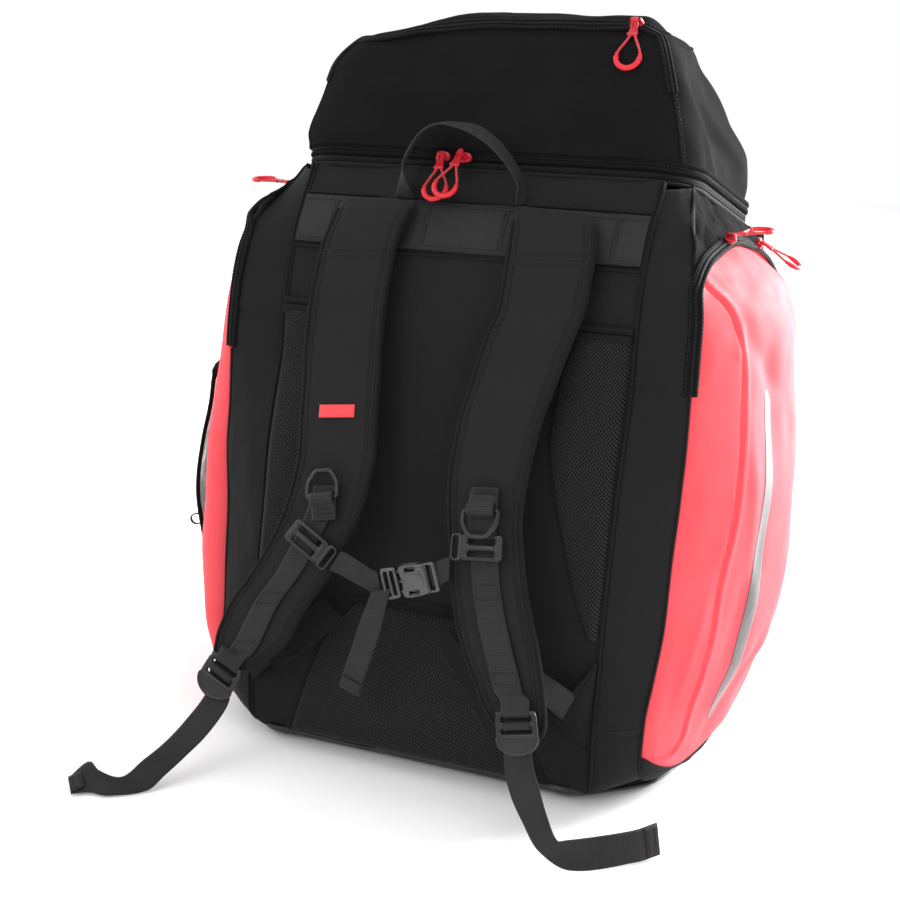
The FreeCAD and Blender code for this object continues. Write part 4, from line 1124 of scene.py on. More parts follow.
rows_r = [(158, 165, 146), (146, 165, 171), (128, 165, 220), (113, 165, 268), (104, 165, 308), (106, 165, 354), (118, 165, 392)]
for s in (1, -1):
    rows = rows_r if s > 0 else [(-b, -a, z) for a, b, z in rows_r]
    T, H = pad("mesh_pad_" + SIDE[s], rows, 7.5, M["mesh"], ("mesh_pads",))
    # inner bound edge of the pad, and the folded binding along its top
    zc = np.linspace(146, 392, 70)
    xin = pchip([r[2] for r in rows_r], [r[0] for r in rows_r], zc)
    mb = MB().tube(on_panel(s * (xin - 1.0), zc, 1.2), 2.6, n=10, up=pn(zc), ry=1.5)
    xt = np.linspace(117, 166, 24) * s
    for k, off in ((0, 0.0), (1, 6.5)):
        pts = on_panel(xt, np.full(24, 391.0 + off), 4.6 - 2.4 * k)
        mb.tube(pts, 3.6, n=10, up=pn(np.full(24, 391.0)), ry=1.6)
    mb.build("pad_binding_" + SIDE[s], M["binding"], "bag", "fabric_black")
    stitch_line(thread("bag"), on_panel(xt, np.full(24, 389.0), 6.4), pn(np.full(24, 390.0)), pitch=3.0, length=2.0)
    stitch_line(thread("bag"), on_panel(xt, np.full(24, 398.5), 3.9), pn(np.full(24, 390.0)), pitch=3.0, length=2.0)
    stitch_line(thread("bag"), on_panel(s * (xin - 4.6), zc, 0.8), pn(zc), pitch=3.4, length=2.3)

LUM = [(-124, 124, 15), (-116, 116, 40), (-104, 104, 75), (-90, 90, 110), (-62, 62, 145)]
T, H = pad("lumbar_pad_mesh", LUM, 8.5, M["mesh"], ("lumbar_pad",), nx=90, nz=64, edge_r=9)
zc = np.linspace(15, 145, 50)
xe = pchip([r[2] for r in LUM], [r[1] for r in LUM], zc)
mb = MB()
for s in (1, -1):
    mb.tube(on_panel(s * (xe + 1.4), zc, 1.0), 3.0, n=10, up=pn(zc), ry=1.5)
xt = np.linspace(-64, 64, 40)
zt_ = 146.5 + 5.0 * (1 - (xt / 64) ** 2)
mb.tube(on_panel(xt, zt_, 2.0), 3.6, n=10, up=pn(zt_), ry=2.0)
mb.build("lumbar_binding", M["binding"], "bag", "fabric_black")
stitch_line(thread("bag"), on_panel(xt, zt_ + 4.6, 0.9), pn(zt_), pitch=3.2, length=2.2)
for s in (1, -1):
    stitch_line(thread("bag"), on_panel(s * (xe + 5.4), zc, 0.9), pn(zc), pitch=3.4, length=2.3)

# anchor band: a webbing band of the full width, ribs upright, stitched above and below
mb = MB()
xs = np.linspace(-164, 164, 60)
L = on_panel(xs, np.full(60, 450.0), 2.4)
zrows = np.linspace(449.5, 488, 12)
n = 780
xs = np.linspace(-164, 164, n)
rib = np.abs(np.sin(np.pi * xs / 1.9)) * 0.35
G = np.stack([on_panel(xs, np.full(n, z), 1.9) + pn(np.full(n, z)) * rib[:, None] for z in zrows], 0)
G = G + pn(np.broadcast_to(zrows[:, None], G.shape[:2])) * (fbm(G, 45, 31, 2) * 0.5)[..., None]
Gi = np.stack([on_panel(xs, np.full(n, z), 0.2) for z in zrows], 0)
mb.shell(G, 0, inner=Gi)
mb.build("anchor_band_web", M["web"], "bag", "webbing", replaces=("anchor_band",))
for z, o in ((453.5, 2.6), (484.5, 2.6)):
    xs2 = np.linspace(-162, 162, 80)
    stitch_line(thread("bag"), on_panel(xs2, np.full(80, z), o), pn(np.full(80, z)), pitch=3.4, length=2.4, r=0.42)
for x in (-131, -38, 36, 138):
    zc2 = np.linspace(454, 484, 20)
    for dx in (-1.6, 1.6):
        stitch_line(thread("bag"), on_panel(np.full(20, x + dx), zc2, 2.7), pn(zc2), pitch=2.4, length=1.9, r=0.42)
# folded seam below the band
xs2 = np.linspace(-166, 166, 80)
mb = MB().tube(on_panel(xs2, np.full(80, 446.0), 0.6), 1.5, n=8, up=pn(np.full(80, 446.0)), ry=0.9)
mb.tube(on_panel(xs2, np.full(80, 490.6), 0.6), 1.5, n=8, up=pn(np.full(80, 490.0)), ry=0.9)
mb.build("anchor_seams", M["binding"], "bag", "fabric_black")


# ---------------------------------------------------------------------------
# side gussets between the panel and the boot pockets
# ---------------------------------------------------------------------------
def gusset_pt(z, v, lift):
    z, v = np.broadcast_arrays(arr(z), arr(v))
    zt0 = 441 + lift
    ex, ey = sx(np.minimum(z, zt0)), sy(np.minimum(z, zt0))
    k = np.clip((z - zt0) / (67.0 - lift), 0, 1)
    ex = np.where(z > zt0, sx(zt0) + (188 - sx(zt0)) * k, ex)
    ey = np.where(z > zt0, sy(zt0) + (0 - sy(zt0)) * k, ey)
    a = np.stack([np.full_like(z, 168.5), py(z) + 1.2, z], -1)
    b = np.stack([ex, ey, z], -1)
    p = a * (1 - v[..., None]) + b * v[..., None]
    n = unit(np.stack([-(b - a)[..., 1], (b - a)[..., 0], np.zeros_like(z)], -1) * -1)
    n = np.where(n[..., 1:2] > 0, -n, n)
    return p, n


for s in (1, -1):
    lift = LIFT[s]
    z = np.linspace(5, 509, 170)
    v = np.linspace(0, 1, 34)
    Z, W = np.meshgrid(z, v, indexing="ij")
    P, N = gusset_pt(Z, W, lift)
    wid = np.linalg.norm(P[:, -1] - P[:, 0], axis=1)[:, None]
    edge = np.sqrt(np.clip(np.minimum(W, 1 - W) * wid / 12, 0, 1))
    d = 3.4 * np.sin(np.pi * W) ** 0.6 + fbm(P * arr([1, 1, 0.55]), 34, 41 + s, 3) * 1.5 * edge
    # horizontal panel seams
    for zs in ((352, 66) if s > 0 else (382, 70)):
        d -= 1.5 * np.exp(-((Z - zs - 3 * W) / 2.0) ** 2)
        d += 0.7 * np.exp(-((Z - zs - 5 - 3 * W) / 2.6) ** 2)
    d += sstep(455 + lift, 500, Z) * fbm(P, 16, 47, 2) * 1.2
    P = under(P + N * d[..., None])
    G = P * arr([s, 1, 1])
    if s < 0:
        G = G[:, ::-1]
    mb = MB().shell(G, 2.2, mi_in=1)
    mb.build("gusset_fabric_" + SIDE[s], [M["black"], M["lining"]], "bag", "fabric_black", replaces=("side_gusset_" + SIDE[s],))
    for zs in ((352, 66) if s > 0 else (382, 70)):
        vv = np.linspace(0.04, 0.97, 16)
        q, qn = gusset_pt(np.full(16, zs + 5.2) + 3 * vv, vv, lift)
        q = (q + qn * (3.4 * np.sin(np.pi * vv) ** 0.6 + 0.9)[:, None]) * arr([s, 1, 1])
        stitch_line(thread("bag"), q, qn * arr([s, 1, 1]), pitch=3.2, length=2.2)


# ---------------------------------------------------------------------------
# red boot pockets: one skin over the fixed side and the folding flap
# ---------------------------------------------------------------------------
NOW = {"s": 1}
E_FRONT = tabf([(30, 0.5), (60, 0.42), (110, 0.31), (250, 0.30), (300, 0.38), (345, 0.5), (400, 0.62), (450, 0.7)])
E_FR = tabf([(0, 0.40), (30, 0.46), (70, 0.60), (130, 0.7), (450, 0.7)])
E_REAR = tabf([(20, 0.30), (60, 0.28), (170, 0.31), (260, 0.5), (345, 0.7)])
B_MORE = tabf([(20, 5), (45, 8), (80, 12), (110, 16), (170, 14), (250, 9), (312, 3), (345, 0)])


B_LEFT = tabf([(20, 5), (60, 11.5), (120, 13.5), (160, 12.5), (220, 8.5), (280, 2), (345, 0)])


def swell(t, z=200.0):
    """Bulge across a pocket: the left one fills out close behind its front seam, the right one low at the rear."""
    t, z = np.broadcast_arrays(arr(t), arr(z))
    w = np.clip(np.sin(np.pi * t), 0, 1)
    e = np.where(t < 0.5, E_FRONT(z) if NOW["s"] < 0 else E_FR(z), E_REAR(z) if NOW["s"] > 0 else 0.7)
    return w ** e


UB = [(0, 53), (0.25, 52), (0.5, 48), (0.7, 38), (0.85, 22), (0.95, 8), (1, 0)]


def skin_pt(zq, t, b=None, x0=None):
    ys, yf = sy(zq), fy(zq) - 3
    x0 = sx(zq) if x0 is None else x0
    b = bul(zq) + (B_MORE(zq) if NOW["s"] > 0 else B_LEFT(zq)) if b is None else b
    return np.stack([x0 - 12 * t + b * swell(t, zq), ys + (yf - ys) * t, zq], -1)


ub = tabf(UB)


def low_edge(t):
    """Height of the seam between the boot pocket and the black lower side."""
    return pchip([0, 0.03, 0.08, 0.15, 0.5, 0.9, 1.0], [46.0, 36.0, 27.0, 22.5, 22.0, 24.0, 30.0], t)


def full_pt(r, t, lift):
    """r from 0 at the bottom seam to 1 at the fold (z 345), to 2 at the zip."""
    r, t = np.broadcast_arrays(arr(r), arr(t))
    zb = low_edge(t)
    zl = zb + (FLAP_Z - zb) * np.clip(r, 0, 1)
    lo = under(skin_pt(zl, t))
    u = np.clip(r - 1, 0, 1)
    z = np.full(r.shape, FLAP_Z)
    p = skin_pt(z, t)
    for _ in range(5):
        z = FLAP_Z + u * (zt(p[..., 1]) + lift - FLAP_Z)
        p = skin_pt(z, t, ub(u), sx(z) + 2.0 * u)
    p[..., 0] = np.where(u > 0.9, np.maximum(p[..., 0], 215.5), p[..., 0])
    k = sstep(0.93, 1.07, r)[..., None]
    return np.where(r[..., None] <= 1, lo, p) if True else lo * (1 - k) + p * k


SEAM_LINE = [(0.045, 1.93), (0.12, 1.62), (0.155, 1.30), (0.165, 1.0), (0.155, 0.72), (0.125, 0.46), (0.12, 0.24), (0.112, 0.115), (0.085, 0.065), (0.0, 0.004)]
for s in (1, -1):
    NOW["s"] = s
    lift = LIFT[s]
    r = np.concatenate([np.linspace(0, 1, 120), np.linspace(1, 2, 66)[1:]])
    t = np.concatenate([np.linspace(0, 0.12, 26), np.linspace(0.12, 0.88, 110)[1:-1], np.linspace(0.88, 1, 20)])
    R, T = np.meshgrid(r, t, indexing="ij")
    P = full_pt(R, T, lift)
    # even the kink at the fold height
    for _ in range(14):
        k = slice(104, 138)
        Q = P.copy()
        Q[1:-1] = (P[:-2] + 2 * P[1:-1] + P[2:]) / 4
        P[k] = Q[k]
    N = gnormals(P)
    if N[60, 60, 0] < 0:
        N = -N
    edge = sstep(0, 0.05, T) * sstep(0, 0.05, 1 - T) * sstep(0, 0.05, R) * sstep(0, 0.07, 2 - R)
    d = fbm(P * arr([1, 0.8, 0.6]), 95, 51 + s, 2) * 3.4 + fbm(P * arr([1, 1, 0.7]), 38, 57 + s, 2) * 1.1
    # seam of the front piece
    st_t = pchip([q[1] for q in SEAM_LINE[::-1]], [q[0] for q in SEAM_LINE[::-1]], np.clip(r, 0.004, 1.93))[:, None]
    wt = np.linalg.norm(np.diff(P, axis=1), axis=2).sum(1)[:, None]
    ds = (T - st_t) * wt
    live = sstep(0.0, 0.02, R) * sstep(0, 0.05, 1.96 - R)
    groove = -1.9 * np.exp(-(ds / 1.6) ** 2) * live
    d += 1.3 * np.exp(-((ds - 5.0) / 4.0) ** 2) * live
    # soft folds
    for (r0, t0), (r1, t1), w, dep in (((1.62, 0.10), (0.95, 0.42), 13, -3.4), ((1.50, 0.30), (0.75, 0.36), 16, -2.8), ((1.2, 0.55), (0.4, 0.5), 20, 2.6),
                                       ((0.95, 0.20), (0.45, 0.26), 9, 2.2), ((0.62, 0.30), (0.12, 0.16), 12, -3.0), ((0.30, 0.42), (0.06, 0.20), 10, -3.2),
                                       ((0.42, 0.56), (0.05, 0.48), 12, -2.4), ((1.75, 0.45), (1.25, 0.62), 14, -2.6), ((1.8, 0.72), (1.1, 0.7), 14, 2.2),
                                       ((0.22, 0.70), (0.06, 0.86), 9, -2.2), ((1.55, 0.16), (1.25, 0.145), 7, 1.6), ((0.5, 0.10), (0.2, 0.07), 6, 1.3)):
        a = full_pt(arr(r0), arr(t0), lift)
        b = full_pt(arr(r1), arr(t1), lift)
        d += crease(P, a, b, w, dep)
    P = P + N * (d * edge + groove)[..., None]
    G = P * arr([s, 1, 1])
    if s < 0:
        G = G[:, ::-1]
    mb = MB().shell(G, 1.8, mi_in=1)
    ob = mb.build("boot_pocket_" + SIDE[s], [M["red"], M["lining"]], None, "fabric_red")
    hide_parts("pocket_side_" + SIDE[s], "pocket_flap_" + SIDE[s])
    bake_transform(ob)
    # a line of stitching beside the seam, below the fold only on the fixed part
    rr_ = np.linspace(0.03, 0.92, 90)
    tt = pchip([q[1] for q in SEAM_LINE[::-1]], [q[0] for q in SEAM_LINE[::-1]], rr_)
    for off in (2.8,):
        ii = np.interp(rr_, r, np.arange(len(r)))
        wloc = np.interp(rr_, r, wt[:, 0])
        jj = np.interp(tt + off / wloc, t, np.arange(len(t)))
        i0, j0 = np.floor(ii).astype(int), np.floor(jj).astype(int)
        fi, fj = (ii - i0)[:, None], (jj - j0)[:, None]
        q = (P[i0, j0] * (1 - fi) * (1 - fj) + P[i0 + 1, j0] * fi * (1 - fj) + P[i0, j0 + 1] * (1 - fi) * fj + P[i0 + 1, j0 + 1] * fi * fj)
        nn = N[i0, j0]
        mbs = MB()
        stitch_line(mbs, q * arr([s, 1, 1]), nn * arr([s, 1, 1]), pitch=3.0, length=2.1, r=0.34)
        mbs.build("seam_stitch_" + SIDE[s], M["patch"], "bag", "fabric_red")
    if s > 0:
        RED = (P.copy(), N.copy(), r, t)


def red_sample(rq, tq, off):
    P, N, r, t = RED
    ii = np.interp(rq, r, np.arange(len(r)))
    jj = np.interp(tq, t, np.arange(len(t)))
    i0 = np.minimum(np.floor(ii).astype(int), len(r) - 2)
    j0 = np.minimum(np.floor(jj).astype(int), len(t) - 2)
    fi, fj = (ii - i0)[..., None], (jj - j0)[..., None]
    p = P[i0, j0] * (1 - fi) * (1 - fj) + P[i0 + 1, j0] * fi * (1 - fj) + P[i0, j0 + 1] * (1 - fi) * fj + P[i0 + 1, j0 + 1] * fi * fj
    return p + N[i0, j0] * off

# plain reflective stripe on the right pocket, no mark
rq = np.linspace(0.10, 0.985, 150)
tc = pchip([0.0, 0.4, 0.8, 1.3], [0.23, 0.27, 0.305, 0.33], rq)
wv = np.linspace(-1, 1, 13)
half = 0.024 * np.sqrt(np.clip(np.minimum(rq - 0.10, 0.985 - rq) / 0.03, 0.02, 1))
RQ = np.broadcast_to(rq[:, None], (150, 13))
TQ = tc[:, None] + half[:, None] * wv[None]
low = RQ[:, 0] <= 1.06
G = red_sample(RQ, TQ, 0.35)
Gi = red_sample(RQ, TQ, -0.5)
mb = MB().shell(G, 0, inner=Gi)
ob = mb.build("reflective_stripe", M["silver"], None, "fabric_red")
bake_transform(ob)


# ---------------------------------------------------------------------------
# zips of the boot pockets: tape and coil along the front seam and over the top
# ---------------------------------------------------------------------------
def zip_run(name, c, n, side, width, body, slot="zip_tape", height=1.6, coil=True, ridge=True, closed=False, replaces=()):
    """Band along curve c with normal n; `side` points across it."""
    T = unit(np.gradient(c, axis=0))
    n = unit(n - (n * T).sum(1, keepdims=True) * T)
    B = np.cross(T, n)
    B = B * np.sign((B * side).sum(1).mean())
    s = np.linspace(-1, 1, 25)
    prof = height * (1 - 0.5 * s ** 4)
    if ridge:
        prof = prof + 1.1 * np.exp(-((np.abs(s) - 0.62) / 0.17) ** 2)
    prof = prof - 0.5 * np.exp(-(s / 0.14) ** 2)
    prof[0] = prof[-1] = -0.6
    G = c[:, None] + B[:, None] * (s[None, :, None] * width / 2) + n[:, None] * prof[None, :, None]
    Gi = c[:, None] + B[:, None] * (s[None, :, None] * width / 2 * 0.98) - n[:, None] * 1.2
    mb = MB().shell(G, 0, inner=Gi)
    if coil:
        L = path_len(c)
        k = max(20, int(L / 0.5))
        d = np.r_[0, np.cumsum(np.linalg.norm(np.diff(c, axis=0), axis=1))]
        q = np.linspace(0, d[-1], k)
        cc = np.stack([np.interp(q, d, c[:, i]) for i in range(3)], 1)
        nn = unit(np.stack([np.interp(q, d, n[:, i]) for i in range(3)], 1))
        rad = 1.25 + 0.28 * np.abs(np.sin(np.pi * q / 1.5))
        mb.tube(cc + nn * (height + 0.1), rad, n=8, up=nn, ry=rad * 0.62, mi=1)
    ob = mb.build(name, [M["zip"], M["coil"]], body, slot, replaces=replaces)
    th = thread(body)
    for k in (-0.8, 0.8):
        stitch_line(th, c + B * (k * width / 2) + n * (height + 0.2), n, pitch=3.2, length=2.2)
    return ob


def pocket_zip_path(s):
    lift = LIFT[s]
    z = np.linspace(352, 436 + lift, 60)
    p, n = gusset_pt(z, np.full(60, 1.0), lift)
    up = p + arr([0.5, -1.0, 0])
    nn = unit(n * 0.8 + arr([0.5, -0.4, 0]))
    ys = np.linspace(-70, 196, 90)
    ztop = zt(ys) + lift
    top = np.stack([np.full(90, 214.5), ys, ztop + 0.8], -1)
    nt = unit(np.tile(arr([0.62, 0, 0.78]), (90, 1)))
    c = np.vstack([up, top[2:]])
    nn = np.vstack([nn, nt[2:]])
    cs = curve_pts(c, 260)
    # smooth the corner
    for _ in range(16):
        cs[1:-1] = (cs[:-2] + cs[1:-1] * 2 + cs[2:]) / 4
    d0 = np.r_[0, np.cumsum(np.linalg.norm(np.diff(c, axis=0), axis=1))]
    d1 = np.r_[0, np.cumsum(np.linalg.norm(np.diff(cs, axis=0), axis=1))]
    q = d1 / d1[-1] * d0[-1]
    ns = unit(np.stack([np.interp(q, d0, nn[:, i]) for i in range(3)], 1))
    for _ in range(30):
        ns[1:-1] = unit(ns[:-2] + ns[1:-1] * 2 + ns[2:])
    return cs, ns


for s in (1, -1):
    c, n = pocket_zip_path(s)
    c, n = c * arr([s, 1, 1]), n * arr([s, 1, 1])
    zip_run("pocket_zip_" + SIDE[s], c, n, np.tile(arr([-s, 0.3, 0.2]), (len(c), 1)), 12.5, "bag")
    # seam welt below it, between gusset and red skin
    z = np.linspace(15, 350, 120)
    NOW["s"] = s
    p, nn = gusset_pt(z, np.full(120, 1.0), LIFT[s])
    mb = MB().tube(under(p + nn * 0.4) * arr([s, 1, 1]), 1.35 * (0.25 + 0.75 * sstep(0, 18, z - 15)), n=9)
    # far seam, where the skin meets the far panel
    zf = np.linspace(15, 404 + LIFT[s], 130)
    pf = skin_pt(np.minimum(zf, 345.0), np.ones(130))
    pf[:, 2] = zf
    pf[:, 1] = fy(zf) - 2.4
    pf[:, 0] = np.where(zf > 345, np.maximum(sx(zf) - 12 + 3 * sstep(345, 400, zf), 206), pf[:, 0])
    mb.tube(under(pf + arr([0.6, 0.8, 0])) * arr([s, 1, 1]), 1.8 * (0.25 + 0.75 * sstep(0, 18, zf - 15)), n=9)
    mb.build("pocket_welts_" + SIDE[s], M["binding"], "bag", "fabric_black")

# ---------------------------------------------------------------------------
# lower sides, base
# ---------------------------------------------------------------------------
for s in (1, -1):
    NOW["s"] = s
    z = np.linspace(0, 1, 44)
    t = np.concatenate([np.linspace(0, 0.2, 60), np.linspace(0.2, 1, 80)[1:]])
    Z, T = np.meshgrid(z, t, indexing="ij")
    Z = 3 + (low_edge(T) + 1.6 - 3) * Z
    P = skin_pt(Z, T)
    N = gnormals(P)
    if N[20, 50, 0] < 0:
        N = -N
    d = fbm(P, 30, 71, 3) * 1.6 * sstep(0, 0.06, T) * sstep(0, 0.06, 1 - T) * sstep(5, 10, Z)
    d = d + 0.9 * np.exp(-((Z - low_edge(T)) / 2.2) ** 2)
    G = under(P + N * (d + 0.3)[..., None]) * arr([s, 1, 1])
    if s < 0:
        G = G[:, ::-1]
    mb = MB().shell(G, 2.0, mi_in=1)
    mb.build("base_side_" + SIDE[s], [M["black"], M["lining"]], "bag", "fabric_black", replaces=("base_sides",))

NOW["s"] = 1
tq_ = np.linspace(0.04, 0.96, 30)
side_c = skin_pt(np.full(30, 16.0), tq_)
half_c = np.vstack([[(0, py(16.0), 16), (60, py(16.0), 16), (120, py(16.0), 16), (160, py(16.0) + 0.5, 16)], side_c[:, :3],
                    [(190, fy(16.0) + 3, 16), (150, fy(16.0) + 6, 16), (80, fy(16.0) + 10, 16), (0, fy(16.0) + 12, 16)]])
loop_c = np.vstack([half_c, (half_c * arr([-1, 1, 1]))[-2:0:-1]])
ring = curve_pts(loop_c, 460, closed=True)
for _ in range(6):
    ring = (np.roll(ring, 1, 0) + 2 * ring + np.roll(ring, -1, 0)) / 4
tn = unit(np.roll(ring, -1, 0) - np.roll(ring, 1, 0))
outn = np.stack([tn[:, 1], -tn[:, 0], np.zeros(len(tn))], 1)
if (outn * ring).sum() < 0:
    outn = -outn
front_w = sstep(120, 155, -ring[:, 1]) * (1 - sstep(150, 185, np.abs(ring[:, 0])))
top = 4.5 + front_w * (6.6 + 1.6 * sstep(-150, 0, ring[:, 0]) + vnoise(ring, 60, 5) * 1.6 + 2.6 * np.exp(-((ring[:, 0] + 32) / 9) ** 2)
                       - 1.6 * np.exp(-((ring[:, 0] + 62) / 26) ** 2) + 1.6 * np.exp(-((ring[:, 0] + 118) / 6) ** 2))
cols = np.linspace(0, 1, 26)
rows = []
for c_ in cols:
    hh = 1.2 + (top - 1.2) * c_
    bulge = (0.5 + (2.3 + 2.9 * front_w) * math.sin(math.pi * min(1.0, 0.12 + c_ * 0.95)) ** 0.7)[:, None]
    q = ring + outn * (bulge + fbm(ring, 34, 77, 2) * 0.5)[:, None] if False else ring + outn * bulge
    q = q + outn * (fbm(ring, 40, 77, 2) * 0.45 * math.sin(math.pi * c_))[:, None]
    q[:, 2] = hh
    rows.append(under(q))
rows = np.array(rows)
inner = rows - outn[None] * 2.2
mb = MB().shell(rows[:, ::-1], 0, inner=inner[:, ::-1], wrap=True)
mb.build("base_wrap", M["coated"], "bag", "base_coated")
# underside, a coated sheet on the floor
core = under(np.concatenate([ring[:, :2], np.full((len(ring), 1), 1.4)], 1))
cen = arr([0, 6, 1.4])
rad = np.linspace(1.0, 0.04, 44)
G = cen + (core - cen)[None] * rad[:, None, None]
rise = np.clip((1 - rad) / 0.05, 0, 1) ** 0.5
G[..., 2] = 2.6 - 2.5 * rise[:, None]
Gi = G.copy()
Gi[..., 2] = 4.6
mb = MB().shell(Gi[:, ::-1], 0, inner=G[:, ::-1], wrap=True, cap1=False)
n_, m_ = G.shape[:2]
mb.v.append(np.array([Gi[-1].mean(0), G[-1].mean(0)]))
o = n_ * m_
mb.f.append(np.array([((n_ - 1) * m_ + j, (n_ - 1) * m_ + (j + 1) % m_, 2 * o) for j in range(m_)]))
mb.f.append(np.array([(o + (n_ - 1) * m_ + (j + 1) % m_, o + (n_ - 1) * m_ + j, 2 * o + 1) for j in range(m_)]))
mb.uv += [np.zeros((m_, 3, 2))] * 2
mb.mi += [np.zeros(m_, int)] * 2
mb.n += 2
mb.build("base_plate", M["coated"], "bag", "base_coated", replaces=("base_tray",))


# ---------------------------------------------------------------------------
# far panel, shoulders of the pockets
# ---------------------------------------------------------------------------
z = np.linspace(6, 442, 150)
x = np.linspace(-203, 203, 140)
X, Z = np.meshgrid(x, z)
Y = fy(Z) + 2 + 10 * (1 - (X / 203.0) ** 2)
P = np.stack([X, Y, Z], -1)
e = sstep(0, 14, 203 - np.abs(X)) * sstep(0, 10, Z - 6) * sstep(0, 8, 442 - Z)
d = fbm(P * arr([1, 1, 0.7]), 80, 81, 3) * 3.0 * e
for xs_ in (-118, 118):
    d -= 1.4 * np.exp(-((X - xs_) / 1.6) ** 2) * e
    d += 0.8 * np.exp(-((np.abs(X - xs_) - 4.2) / 2.6) ** 2) * e
for z_ in (120, 300):
    inn = sstep(-6, 0, 118 - np.abs(X))
    d -= 1.4 * np.exp(-((Z - z_) / 1.6) ** 2) * e * inn
P[..., 1] += np.minimum(d, 3.0)
P = under(P)
mb = MB().shell(P, 2.2, mi_in=1)
mb.build("front_panel_fabric", [M["black"], M["lining"]], "bag", "fabric_black", replaces=("front_panel",))
for xs_ in (-118, 118):
    zc = np.linspace(12, 438, 120)
    q = np.stack([np.full(120, xs_ + np.sign(xs_) * 4.0), fy(zc) + 2 + 10 * (1 - ((xs_ + 4) / 203.0) ** 2) + 1.4, zc], -1)
    jj = np.argmin(np.abs(x - q[0, 0]))
    q[:, 1] = np.interp(zc, z, P[:, jj, 1]) + 0.3
    stitch_line(thread("bag"), q, (0, 1, 0), pitch=3.4, length=2.4)


def shoulder(u, v, lift):
    ya = float(sy(441 + lift)) - 1.5
    y0 = ya + (197 - ya) * u
    y1 = -2 + (200 + 2) * u
    b = np.stack([np.full_like(u, 213.4), y0, np.minimum(zt(y0) + lift + 0.5, rim_z(y0) - 8)], -1)
    c = np.stack([np.full_like(u, 187.6), y1, rim_z(y1) + 0.5], -1)
    p = b * (1 - v[..., None]) + c * v[..., None]
    p[..., 0] -= 5 * np.sin(np.pi * v)
    return p


for s in (1, -1):
    u = np.linspace(0, 1, 150)
    v = np.linspace(0, 1, 40)
    U, W = np.meshgrid(u, v, indexing="ij")
    P = shoulder(U, W, LIFT[s])
    N = gnormals(P)
    if N[70, 20, 0] < 0:
        N = -N
    wid = np.linalg.norm(P[:, -1] - P[:, 0], axis=1)[:, None]
    e = sstep(0, 0.15, W) * sstep(0, 0.15, 1 - W) * np.clip(wid / 30, 0.15, 1)
    d = (3.0 * np.sin(np.pi * W) + fbm(P * arr([1, 1, 0.6]), 26, 91 + s, 3) * 3.2) * e
    d += crease(P, (205, -62, 452), (190, -20, 492), 5, 2.8) + crease(P, (208, -40, 452), (194, 0, 480), 4, -2.6) + crease(P, (206, -12, 455), (192, 30, 476), 6, 2.0)
    P = P + N * d[..., None]
    G = P * arr([s, 1, 1])
    if s < 0:
        G = G[:, ::-1]
    mb = MB().shell(G, 2.0, mi_in=1)
    mb.build("shoulder_fabric_" + SIDE[s], [M["softshell"], M["lining"]], "bag", "fabric_black", replaces=("pocket_shoulder_" + SIDE[s],))

# ---------------------------------------------------------------------------
# rim band and hood
# ---------------------------------------------------------------------------
RIM = (-21, 517, 207, rim_z(207.0), 190, 46)
NS = (44, 12, 30)      # points on the front/rear side, a corner, a short side


def section(yf, zf, yr, zr, w, r, inset=0.0, up=0.0):
    """Rounded rectangle on the sloping plane, same point count for all sizes; starts at the front's middle."""
    d = math.hypot(yr - yf, zr - zf)
    ey, ez = (yr - yf) / d, (zr - zf) / d
    w, r0, r1 = w - inset, inset, d - inset
    r = max(r - inset, 2.0)
    U, S_ = [], []

    def run(a, b, n):
        q = np.linspace(0, 1, n, endpoint=False)
        U.extend(a[0] + (b[0] - a[0]) * q)
        S_.extend(a[1] + (b[1] - a[1]) * q)

    def arc(cx, cs, a0, n):
        q = np.radians(a0 + 90 * np.linspace(0, 1, n, endpoint=False))
        U.extend(cx + r * np.cos(q))
        S_.extend(cs + r * np.sin(q))
    run((0, r0), (w - r, r0), NS[0] // 2)
    arc(w - r, r0 + r, -90, NS[1])
    run((w, r0 + r), (w, r1 - r), NS[2])
    arc(w - r, r1 - r, 0, NS[1])
    run((w - r, r1), (-w + r, r1), NS[0])
    arc(-w + r, r1 - r, 90, NS[1])
    run((-w, r1 - r), (-w, r0 + r), NS[2])
    arc(-w + r, r0 + r, 180, NS[1])
    run((-w + r, r0), (0, r0), NS[0] // 2)
    U, S_ = arr(U), arr(S_)
    return np.stack([U, yf + ey * S_ - ez * up, zf + ez * S_ + ey * up], -1)


def ring_frame(up):
    c = section(*RIM, up=up)
    T = unit(np.roll(c, -1, 0) - np.roll(c, 1, 0))
    axis = unit((0, 0.3186 / math.hypot(1, 0.3186), 1 / math.hypot(1, 0.3186)))
    out = np.cross(T, axis)
    if (out * (c - c.mean(0))).sum() < 0:
        out = -out
    return c, T, unit(out), axis


def ring_band(profile, up0, seed, wob=0.4, k=40):
    """Closed band: profile of (out, up) points, closed, swept along the rim."""
    c, T, out, axis = ring_frame(up0)
    # resample the ring evenly
    cc = np.vstack([c, c[:1]])
    d = np.r_[0, np.cumsum(np.linalg.norm(np.diff(cc, axis=0), axis=1))]
    q = np.linspace(0, d[-1], 520, endpoint=False)
    oo = np.vstack([out, out[:1]])
    cq = np.stack([np.interp(q, d, cc[:, i]) for i in range(3)], 1)
    oq = unit(np.stack([np.interp(q, d, oo[:, i]) for i in range(3)], 1))
    w = vnoise(cq, 45, seed) * wob
    pr = arr(profile)
    pr = curve_pts(pr, k, closed=True)
    G = cq[:, None] + oq[:, None] * (pr[None, :, 0, None] + w[:, None, None]) + axis[None, None] * (pr[None, :, 1, None] + 0.5 * w[:, None, None])
    return G, cq, oq, axis


